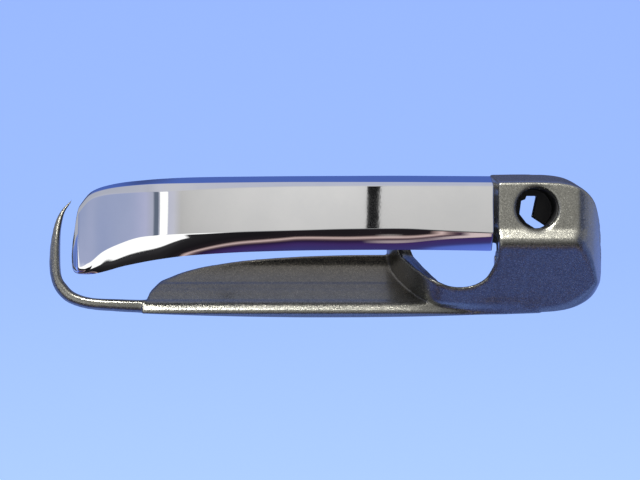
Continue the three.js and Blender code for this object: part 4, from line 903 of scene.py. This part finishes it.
def small_pieces():
    for tag, (sx, sz) in zip(("left", "right"), SCREWS):
        hh = float(lever_rows([sx])[0][6])
        screw("cover_screw_%s_detail" % tag, sx, sz, 0.95, -hh + 3.2, -hh + 11, 3.1, -hh + 10.6, -hh + 12.8, "lever", "cover_screw_" + tag, 1.0)
    screw("chassis_screw_upper_detail", 93.6, 13.2, 1.1, -22, 0.6, 3.15, 0.3, 2.6, "mounting", "chassis_screw_upper")
    screw("chassis_screw_lower_detail", 94.2, -12.6, 1.1, -22, 0.6, 3.15, 0.3, 2.6, "mounting", "chassis_screw_lower")
    pin_like("hinge_pin_detail", "z", HINGE_X, HINGE_Y, 3.0, -16.6, 6.4, (4.6, 6.1, 7.6), "mounting", "hinge_pin", (-16.0, -15.1, 2.3))
    pin_like("bellcrank_pin_detail", "x", CRANK_Y, CRANK_Z, 3.0, 92.2, 115.6, (4.8, 115.3, 116.8), "mounting", "bellcrank_pin", (92.8, 93.7, 2.3))
    e_clip("hinge_pin_clip_detail", "z", HINGE_X, HINGE_Y, -15.85, -15.25, 5.4, 2.5, math.pi / 2, "mounting", "hinge_pin_clip")
    e_clip("bellcrank_pin_clip_detail", "x", CRANK_Y, CRANK_Z, 93.0, 93.6, 5.4, 2.5, -math.pi / 2, "mounting", "bellcrank_pin_clip")

    for nm, z0, z1 in (("hinge_bush_upper", -4.2, 1.4), ("hinge_bush_lower", -10.2, -4.5)):
        ob = solid(nm + "_detail", (HINGE_X - 4.5, HINGE_Y - 4.5, z0), (HINGE_X + 4.5, HINGE_Y + 4.5, z1), 0.24,
                   lambda X, Y, Z: smax(cyl(X, Y, Z, HINGE_X, HINGE_Y, 4.4, z0, z1, 0.3), -cyl(X, Y, Z, HINGE_X, HINGE_Y, 3.3, z0 - 3, z1 + 3), 0.3))
        dress(ob, ACETAL, "lever", "natural_plastic", nm)

    # keyed sleeve behind the lock opening
    key = [tuple(p) for p in KEYWAY]

    def sleeve(X, Y, Z):
        f = cyl(X, Z, Y, LOCK_X, LOCK_Z, 11.9, -38.2, -13.6, 0.4)
        f = smax(f, -cyl(X, Z, Y, LOCK_X, LOCK_Z, 10.3, -45, -20, 0.5), 0.4)
        k2 = poly_dist(X[:, 0, :], Z[:, 0, :], key)[:, None, :]
        f = smax(f, -(k2 + 0 * Y), 0.5)
        g = np.maximum(np.abs(Y + 17.0) - 0.8, 11.0 - np.hypot(X - LOCK_X, Z - LOCK_Z))
        return np.maximum(f, -g)
    dress(solid("lock_sleeve_detail", (LOCK_X - 12, -38.2, LOCK_Z - 12), (LOCK_X + 12, -13.6, LOCK_Z + 12), 0.4, sleeve), SLEEVE, "mounting", "black_plastic", "lock_sleeve")

    def snap(X, Y, Z):
        a = np.arctan2(Z - LOCK_Z, X - LOCK_X)
        rho = np.hypot(X - LOCK_X, Z - LOCK_Z)
        d = smax(rho - 13.55, 11.35 - rho, 0.15)
        gap = np.maximum(np.abs(X - LOCK_X) - 5.7, LOCK_Z - Z)
        f = slab(smax(d, -gap, 0.4), Y, -17.5, -16.5, 0.15)
        for s in (-1, 1):
            lug = np.hypot(X - LOCK_X - s * 6.6, Z - LOCK_Z - 10.6) - 1.3
            f = np.minimum(f, slab(smax(lug, 0.5 - np.hypot(X - LOCK_X - s * 6.6, Z - LOCK_Z - 10.6), 0.1), Y, -17.5, -16.5, 0.15))
        return f
    dress(solid("lock_retaining_clip_detail", (LOCK_X - 13.7, -17.5, LOCK_Z - 13.7), (LOCK_X + 13.7, -16.5, LOCK_Z + 13), 0.25, snap, 1), SPRING, "mounting", "plain_steel", "lock_retaining_clip")

    # bellcrank
    (fy, fz), (oy, oz), (cy, cz) = at(CRANK_ARM, CRANK_REST), at(ARM_OUT, OUT_A), at(19, CW_A)

    def limb(Y, Z, p, w0, w1):
        ax_, az_ = p[0] - CRANK_Y, p[1] - CRANK_Z
        L = ax_ * ax_ + az_ * az_
        t = np.clip(((Y - CRANK_Y) * ax_ + (Z - CRANK_Z) * az_) / L, 0, 1)
        return np.hypot(Y - CRANK_Y - t * ax_, Z - CRANK_Z - t * az_) - (w0 + (w1 - w0) * t)

    def crank(X, Y, Z):
        Y2, Z2 = Y[0], Z[0]
        d2 = np.hypot(Y2 - CRANK_Y, Z2 - CRANK_Z) - 8
        for p, a, b in (((fy, fz), 6.5, 4.9), ((oy, oz), 6.2, 4.9), ((cy, cz), 6.5, 5.4)):
            d2 = smin(d2, limb(Y2, Z2, p, a, b), 3.0)
        f = slab(d2[None], X, 99.5, 104.5, 0.6)
        web = np.maximum(d2 + 2.2, 9.2 - np.hypot(Y2 - CRANK_Y, Z2 - CRANK_Z))
        for p, r in (((fy, fz), 5.2), ((oy, oz), 4.6), ((cy, cz), 5.4)):
            web = np.maximum(web, r + 0.6 - np.hypot(Y2 - p[0], Z2 - p[1]))
        f = smax(f, -slab(web[None], X, 103.3, 108, 0.3), 0.4)
        f = smin(f, cyl(Y, Z, X, CRANK_Y, CRANK_Z, 6.2, 97.8, 101, 0.4), 0.6)
        f = smin(f, cyl(Y, Z, X, CRANK_Y, CRANK_Z, 4.6, 103, 111.2, 0.3), 0.5)
        f = smin(f, cyl(Y, Z, X, fy, fz, 3.0, 74, 101, 0.8), 1.2)
        f = np.maximum(f, -cyl(Y, Z, X, CRANK_Y, CRANK_Z, 3.3, 96, 113))
        f = np.maximum(f, -cyl(Y, Z, X, oy, oz, 2.5, 98, 106))
        return np.maximum(f, -cyl(Y, Z, X, cy, cz, 2.3, 98, 106))
    dress(solid("bellcrank_casting", (74, 19, -50.2), (111.3, 57, 6), 0.5, crank), ZINC, "crank", "cast_zinc", "bellcrank")

    dress(solid("counterweight_slug", (104.9, cy - 7.5, cz - 7), (110.6, cy + 7.5, cz + 4.5), 0.35,
                lambda X, Y, Z: np.maximum(bx(X, Y, Z, 104.9, 110.6, cy - 7.5, cy + 7.5, cz - 7, cz + 4.5, 0.9), -cyl(Y, Z, X, cy, cz, 2.3, 103, 112))), STEEL, "crank", "plain_steel", "counterweight")

    def rivet(X, Y, Z):
        rho = np.hypot(Y - cy, Z - cz)
        f = cyl(Y, Z, X, cy, cz, 2.0, 98.4, 112, 0.2)
        a = smax(np.sqrt(rho ** 2 + (X - 101.6) ** 2) - 3.9, np.abs(X - 98.55) - 0.65, 0.2)
        b = smax(np.sqrt(rho ** 2 + (X - 108.4) ** 2) - 3.9, np.abs(X - 111.55) - 0.65, 0.2)
        return smin(f, np.minimum(a, b), 0.2)
    dress(solid("counterweight_rivet_detail", (97.9, cy - 3.7, cz - 3.7), (112.2, cy + 3.7, cz + 3.7), 0.24, rivet), STEEL, "crank", "plain_steel", "counterweight_rivet")

    def clip(X, Y, Z):
        f = bx(X, Y, Z, 105, 111, oy - 5, oy + 5, oz - 6, oz + 6, 1.0)
        f = smin(f, cyl(Y, Z, X, oy, oz, 2.2, 98.5, 107, 0.3), 0.6)
        f = smin(f, cyl(Y, Z, X, oy, oz, 3.3, 97.6, 99.2, 0.5), 0.2)
        f = smax(f, -cyl(X, Y, Z, 108, oy, 1.6, oz - 9, oz + 9), 0.3)
        f = smax(f, -bx(X, Y, Z, 108.6, 113, oy - 0.8, oy + 0.8, oz - 9, oz + 9, 0.1), 0.4)
        return smax(f, -bx(X, Y, Z, 104, 112, oy + 3.4, oy + 6, oz - 2.5, oz + 2.5, 0.6), 0.5)
    dress(solid("rod_clip_detail", (97.6, oy - 5, oz - 6), (111, oy + 5, oz + 6), 0.3, clip), YELLOW, "rod_end", "clip_plastic", "rod_clip")

    for tag, x, z in (("left", -84, 0), ("right", 66, -9)):
        def buf(X, Y, Z):
            f = cyl(X, Z, Y, x, z, 3.9, -14.3, -9.3, 1.0)
            f = smin(f, cyl(X, Z, Y, x, z, 2.0, -10, -1, 0.6), 0.5)
            return smax(f, -(np.hypot(np.hypot(X - x, Z - z) - 2.2, Y + 14.4) - 0.45), 0.3)
        dress(solid("bumper_%s_detail" % tag, (x - 4, -14.3, z - 4), (x + 4, -1, z + 4), 0.28, buf), RUBBER, "mounting", "black_rubber", "bumper_" + tag)

    dress(solid("stud_seal_ring", (STUD_L[0] - 13, -1.2, STUD_L[1] - 13), (STUD_L[0] + 13, 0, STUD_L[1] + 13), 0.3,
                lambda X, Y, Z: slab(np.maximum(np.hypot(X - STUD_L[0], Z - STUD_L[1]) - 13, 8 - np.hypot(X - STUD_L[0], Z - STUD_L[1])), Y, -1.2, 0, 0.35), 1), FOAM, "mounting", "black_foam", "stud_seal")
    dress(solid("lower_seal_strip", (-87.7, -1.2, -53), (77.7, 0, -50.4), 0.4,
                lambda X, Y, Z: bx(X, Y, Z, -87.7, 77.7, -1.2, 0, -53, -50.4, 0.4), 1), FOAM, "mounting", "black_foam", "lower_seal")

    # studs with an M6 thread, and serrated flange nuts
    for tag, (x, z), y0 in (("left", STUD_L, -8.6), ("right", STUD_RR, -15.5)):
        def stud(X, Y, Z):
            rho, th = np.hypot(X - x, Z - z), np.arctan2(Z - z, X - x)
            ph = (Y / 1.0 + th / (2 * math.pi)) % 1.0
            thr = 2.45 + 0.55 * (1 - np.abs(2 * ph - 1))
            R = np.where(Y > 0.5, thr, 3.0)
            R = np.minimum(R, 3.0 + (22 - Y) * 0.9 - 0.9)
            f = smax((rho - R) * 0.8, np.abs(Y - (y0 + 22) / 2) - (22 - y0) / 2, 0.2)
            if tag == "left":
                hexd = np.maximum(np.abs(X - x), np.maximum(np.abs((X - x) * 0.5 + (Z - z) * 0.866), np.abs((X - x) * 0.5 - (Z - z) * 0.866))) - 4.85
                f = np.minimum(f, slab(hexd, Y, -8.6, -6.9, 0.3))
            return f
        m = 5.7 if tag == "left" else 3.0
        dress(solid("stud_%s_threaded" % tag, (x - m, y0, z - m), (x + m, 22, z + m), 0.22, stud, 0), PLATED, "mounting", "zinc_plated_steel", "stud_" + tag)

        def nut(X, Y, Z):
            u, w = X - x, Z - z
            rho, th = np.hypot(u, w), np.arctan2(w, u)
            hexd = np.maximum(np.abs(w), np.maximum(np.abs(w * 0.5 + u * 0.866), np.abs(w * 0.5 - u * 0.866))) - 5.0
            body = smax(smax(hexd, np.abs(Y - 5.0) - 3.0, 0.25), rho - 5.75 + (Y - 7.2) * 0.9, 0.3)
            fl = smax(rho - 7.2, smax(1.6 - Y, Y - 3.2 + (rho - 5.2) * 0.42, 0.2), 0.4)
            f = smin(body, fl, 0.5)
            f = smax(f, 3.3 - rho, 0.3)
            ser = np.maximum(1.9 - Y + 0.0, 0)
            return np.where((rho > 4.5) & (rho < 7.0), np.maximum(f, (1.6 + 0.22 * np.abs(np.sin(12 * th)) - Y) * 0.8), f)
        dress(solid("flange_nut_%s_detail" % tag, (x - 7.2, 1.6, z - 7.2), (x + 7.2, 8, z + 7.2), 0.24, nut, 1), PLATED, "mounting", "zinc_plated_steel", "flange_nut_" + tag)


def spring():
    """Torsion spring: a round wire swept along a leg, the coil and the other leg."""
    pts = []
    turns, a0 = 2.6, math.pi * 0.05
    n_leg, n_coil = 10, 120
    for k in range(n_leg):
        u = 1 - k / n_leg
        pts.append((105.6, CRANK_Y + 6.6 * math.sin(a0) - u * 13 * math.cos(a0), CRANK_Z + 6.6 * math.cos(a0) + u * 13 * math.sin(a0)))
    for k in range(n_coil + 1):
        u = k / n_coil
        a = a0 + u * turns * 2 * math.pi
        pts.append((105.7 + 4.5 * u, CRANK_Y + 6.6 * math.sin(a), CRANK_Z + 6.6 * math.cos(a)))
    a = a0 + turns * 2 * math.pi
    for k in range(1, n_leg + 1):
        u = k / n_leg
        pts.append((110.25, CRANK_Y + 6.6 * math.sin(a) + u * 12 * math.cos(a), CRANK_Z + 6.6 * math.cos(a) - u * 12 * math.sin(a)))
    P = np.array(pts)
    T = np.gradient(P, axis=0)
    T /= np.linalg.norm(T, axis=1, keepdims=True)
    up = np.array([1.0, 0, 0])
    V, F, m = [], [], 12
    for p, t in zip(P, T):
        b = np.cross(t, up)
        b /= np.linalg.norm(b)
        c = np.cross(b, t)
        for k in range(m):
            w = 2 * math.pi * k / m
            V.append(p + 0.62 * (b * math.cos(w) + c * math.sin(w)))
    for s in range(len(P) - 1):
        for k in range(m):
            F.append((s * m + k, s * m + (k + 1) % m, (s + 1) * m + (k + 1) % m, (s + 1) * m + k))
    F.append(tuple(range(m))[::-1])
    F.append(tuple((len(P) - 1) * m + k for k in range(m)))
    ob = add_mesh("return_spring_wire", V, F)
    bm = bmesh.new()
    bm.from_mesh(ob.data)
    bmesh.ops.recalc_face_normals(bm, faces=bm.faces)
    bm.to_mesh(ob.data)
    bm.free()
    return ob


# ------------------------------------------------------------------ build
dress(bezel(), PAINT, "mounting", "painted_moulding", "bezel_housing")
dress(lever_cover(), CHROME, "lever", "chrome_plate", "lever_cover")
dress(lever_core(), NYLON, "lever", "black_plastic", "lever_core")
dress(chassis(), NYLON, "mounting", "black_plastic", "chassis")
small_pieces()
sp = spring()
sp.data.materials.append(SPRING)
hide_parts("return_spring")
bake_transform(sp)

# ------------------------------------------------------------------ set
cam_data = bpy.data.cameras.new("camera")
cam_data.sensor_width = 36.0
cam_data.lens = 95.175
cam = bpy.data.objects.new("camera", cam_data)
cam.location = (-0.0034, -0.900, -0.0145)
cam.rotation_euler = (math.pi / 2, 0, 0)
bpy.context.scene.collection.objects.link(cam)
bpy.context.scene.camera = cam


def plane(name, size, loc, rot, col, emit, strength):
    bm = bmesh.new()
    bmesh.ops.create_grid(bm, x_segments=8, y_segments=8, size=size / 2)
    me = bpy.data.meshes.new(name)
    bm.to_mesh(me)
    bm.free()
    ob = bpy.data.objects.new(name, me)
    ob.location, ob.rotation_euler = loc, rot
    bpy.context.scene.collection.objects.link(ob)
    m, nt, p = new_mat(name + "_mat")
    p.inputs["Base Color"].default_value = (*col, 1)
    p.inputs["Roughness"].default_value = 0.9
    p.inputs["Specular IOR Level"].default_value = 0.1
    p.inputs["Emission Color"].default_value = (*emit, 1)
    p.inputs["Emission Strength"].default_value = strength
    me.materials.append(m)
    return ob


floor = plane("floor", 40.0, (0, 0, -0.42), (0, 0, 0), (0.34, 0.36, 0.40), (0.30, 0.34, 0.42), 1.0)
back = plane("backdrop", 9.0, (0, 1.8, 4.08), (math.pi / 2, 0, 0), (0.05, 0.07, 0.12), (0.312, 0.485, 0.955), 1.0)
for ob in (floor, back):
    ob.visible_glossy = False
nt = back.data.materials[0].node_tree
# painted light: the backdrop's glow is graded by height, brighter towards the floor and dimmer above
grade = span(nt, node(nt, "ShaderNodeSeparateXYZ").outputs["Z"], 0, 1)
sep = [n for n in nt.nodes if n.bl_idname == "ShaderNodeSeparateXYZ"][0]
nt.links.new(node(nt, "ShaderNodeNewGeometry").outputs["Position"], sep.inputs["Vector"])
rng = [n for n in nt.nodes if n.bl_idname == "ShaderNodeMapRange"][0]
rng.inputs["From Min"].default_value, rng.inputs["From Max"].default_value = -0.42, 0.36
nt.links.new(ramp(nt, grade, [(0.0, (0.385, 0.565, 0.97)), (0.5, (0.295, 0.452, 0.90)), (1.0, (0.268, 0.41, 0.92))]), nt.nodes["Principled BSDF"].inputs["Emission Color"])


def area(name, loc, target, size, power, col=(1, 1, 1), size_y=None):
    d = bpy.data.lights.new(name, "AREA")
    d.shape = "RECTANGLE"
    d.size, d.size_y = size, size_y or size
    d.energy, d.color = power, col
    ob = bpy.data.objects.new(name, d)
    ob.location = loc
    ob.rotation_mode = "QUATERNION"
    ob.rotation_quaternion = (Vector(target) - Vector(loc)).to_track_quat("-Z", "Y")
    ob.visible_glossy = False
    bpy.context.scene.collection.objects.link(ob)
    return ob


area("fill_above", (-0.3, -0.9, 1.4), (0, 0, 0), 1.2, 9)
area("front_soft", (0.2, -2.3, 0.5), (0, 0, 0), 1.8, 5)
# key light; the mirror-bright cover is left to the soft surroundings
key = area("key", (-0.30, -1.02, 1.16), (0, 0, 0), 0.5, 50, (1.0, 0.985, 0.94))
key.visible_glossy = True
group = bpy.data.collections.new("key_receivers")
group.objects.link(bpy.data.objects["lever_chrome_cover"])
group.objects.link(floor)
for link in group.collection_objects:
    link.light_linking.link_state = "EXCLUDE"
key.light_linking.receiver_collection = group

# soft studio round the object: what each direction sends, by its angle about X from straight ahead
w = bpy.data.worlds.new("world")
w.use_nodes = True
wt = w.node_tree
bg = wt.nodes["Background"]
d = node(wt, "ShaderNodeSeparateXYZ")
wt.links.new(node(wt, "ShaderNodeTexCoord").outputs["Generated"], d.inputs["Vector"])


def wm(op, a, b=None, clamp=False):
    n = node(wt, "ShaderNodeMath", operation=op, use_clamp=clamp)
    for k, v in enumerate((a, b)):
        if v is None:
            continue
        if isinstance(v, (int, float)):
            n.inputs[k].default_value = v
        else:
            wt.links.new(v, n.inputs[k])
    return n.outputs[0]


def wmix(fac, a, b):
    n = node(wt, "ShaderNodeMix", data_type="RGBA")
    wt.links.new(fac, n.inputs["Factor"])
    for v, k in ((a, "A"), (b, "B")):
        if isinstance(v, tuple):
            n.inputs[k].default_value = (*v, 1)
        else:
            wt.links.new(v, n.inputs[k])
    return n.outputs["Result"]


def wband(v, a, b, c, e):
    """0 below a, up to 1 at b, 1 until c, 0 at e."""
    return wm("MULTIPLY", span(wt, v, 0, 1, a, b), span(wt, v, 1, 0, c, e))


elev = wm("MULTIPLY", wm("ARCTAN2", d.outputs["Z"], wm("MULTIPLY", d.outputs["Y"], -1.0)), 180 / math.pi)
side = wm("MULTIPLY", wm("ARCSINE", d.outputs["X"]), 180 / math.pi)
RING = [(-180, (0.20, 0.31, 0.80)), (-145, (0.12, 0.19, 0.50)), (-124, (0.26, 0.42, 1.08)), (-112, (0.28, 0.45, 1.15)), (-107, (0.13, 0.22, 0.80)), (-97, (0.092, 0.148, 0.56)), (-93.5, (0.045, 0.042, 0.18)), (-87, (0.05, 0.026, 0.13)), (-82.5, (0.02, 0.010, 0.035)),
        (-80.5, (0.16, 0.10, 0.11)), (-79, (0.72, 0.55, 0.53)), (-77.8, (0.50, 0.36, 0.34)), (-76.6, (0.02, 0.014, 0.018)), (-70, (0.011, 0.010, 0.012)), (-58, (0.02, 0.019, 0.021)), (-40, (0.12, 0.12, 0.13)),
        (-22, (0.52, 0.52, 0.52)), (-6, (0.66, 0.655, 0.65)), (8, (0.74, 0.735, 0.73)), (30, (0.66, 0.66, 0.67)), (60, (0.63, 0.63, 0.66)), (92, (0.54, 0.56, 0.67)), (118, (0.50, 0.53, 0.66)), (129, (0.20, 0.27, 0.55)), (138, (0.080, 0.145, 0.49)), (151, (0.080, 0.145, 0.49)), (160, (0.035, 0.045, 0.11)), (173, (0.035, 0.045, 0.11)), (180, (0.20, 0.31, 0.75))]
warp = noise(wt, [n for n in wt.nodes if n.bl_idname == "ShaderNodeTexCoord"][0].outputs["Generated"], 5.0, 1.0)
low = span(wt, elev, 1, 0, -70, -50)
tilt = wm("MINIMUM", wm("MAXIMUM", side, -12.0), 4.0)
lean = wm("MAXIMUM", wm("MULTIPLY", tilt, -0.5), wm("MULTIPLY", tilt, -1.2))
bent = wm("ADD", elev, wm("MULTIPLY", wm("ADD", lean, wm("MULTIPLY", wm("SUBTRACT", warp.outputs["Fac"], 0.5), 4.5)), low))
unit = wm("DIVIDE", wm("ADD", bent, 180.0), 360.0)
ring = ramp(wt, unit, [((a + 180) / 360, c) for a, c in RING])
# the grey card is a little darker towards its ends
shade = wm("ADD", wm("MULTIPLY", span(wt, side, 1, 0, -22, -4), 0.36), wm("MULTIPLY", span(wt, side, 0, 1, 0, 7), 0.14))
mul = node(wt, "ShaderNodeMix", data_type="RGBA", blend_type="MULTIPLY")
wt.links.new(wm("MULTIPLY", shade, span(wt, wm("ABSOLUTE", elev), 1, 0, 20, 60)), mul.inputs["Factor"])
wt.links.new(ring, mul.inputs["A"])
mul.inputs["B"].default_value = (0.25, 0.25, 0.25, 1)
ring = mul.outputs["Result"]
# sides: a cool grey on the left, blue beyond it and on the right
left = ramp(wt, wm("DIVIDE", wm("ADD", side, 90.0), 180.0), [(0.0, (0.16, 0.23, 0.48)), (0.05, (0.30, 0.36, 0.58)), (0.10, (0.37, 0.42, 0.62)), (0.15, (0.42, 0.455, 0.66)), (0.21, (0.47, 0.49, 0.69)), (0.255, (0.45, 0.47, 0.60)), (0.29, (0.40, 0.42, 0.52)), (0.345, (0.58, 0.59, 0.70)), (0.39, (0.62, 0.62, 0.67)), (0.60, (0.3, 0.32, 0.36)), (0.68, (0.10, 0.11, 0.14)), (0.78, (0.07, 0.11, 0.28)), (0.88, (0.07, 0.12, 0.34)), (1.0, (0.07, 0.12, 0.34))])
sides = wm("ADD", span(wt, side, 1, 0, -25, -20), span(wt, side, 0, 1, 25, 50))
front = wm("MULTIPLY", span(wt, elev, 1, 0, 45, 95), span(wt, elev, 0, 1, -62, -48))
col = wmix(wm("MULTIPLY", sides, front, True), ring, left)
# upright strips: a white one and a dark one left of the grey card, and a narrow dark one in it
white = wband(side, -35.6, -35, -29.6, -28.8)
col = wmix(wm("MULTIPLY", white, span(wt, wm("ABSOLUTE", elev), 1, 0, 30, 36)), col, (1.25, 1.25, 1.22))
dark = wband(side, -42.6, -40.5, -37, -36.2)
col = wmix(wm("MULTIPLY", dark, span(wt, wm("ABSOLUTE", elev), 0.85, 0, 22, 40)), col, (0.085, 0.115, 0.17))
over = wm("MULTIPLY", span(wt, wm("ABSOLUTE", side), 0, 1, 26, 48), span(wt, elev, 0, 1, 60, 110))
col = wmix(over, col, (0.46, 0.48, 0.56))
slit = wm("MULTIPLY", wband(side, 3.20, 3.27, 4.27, 4.34), wband(elev, -24, -20, 24, 28))
col = wmix(slit, col, (0.012, 0.012, 0.013))
# low white card on the left
skew = wm("ADD", side, wm("MULTIPLY", wm("ADD", elev, 66.0), 1.6))
card = wm("MULTIPLY", wm("MULTIPLY", span(wt, skew, 0, 1, -46, -43.5), span(wt, side, 1, 0, -9, -6)), wband(elev, -67.6, -66.8, -28, -20))
col = wmix(card, col, (1.25, 1.25, 1.24))
warm = wm("MULTIPLY", wband(side, 3.6, 6, 30, 34), wband(bent, -79.4, -78.4, -75.6, -74.6))
col = wmix(warm, col, (0.95, 0.84, 0.82))
warm = wm("MULTIPLY", wband(side, 2.6, 5, 34, 44), wband(elev, -84.4, -83.4, -81.2, -80.0))
col = wmix(warm, col, (0.70, 0.57, 0.57))
# the camera sees plain paper past the set
lp = node(wt, "ShaderNodeLightPath")
wt.links.new(wmix(lp.outputs["Is Camera Ray"], col, (0.60, 0.68, 0.84)), bg.inputs["Color"])
bg.inputs["Strength"].default_value = 1.0
bpy.context.scene.world = w
bpy.context.scene.view_settings.view_transform = "Standard"
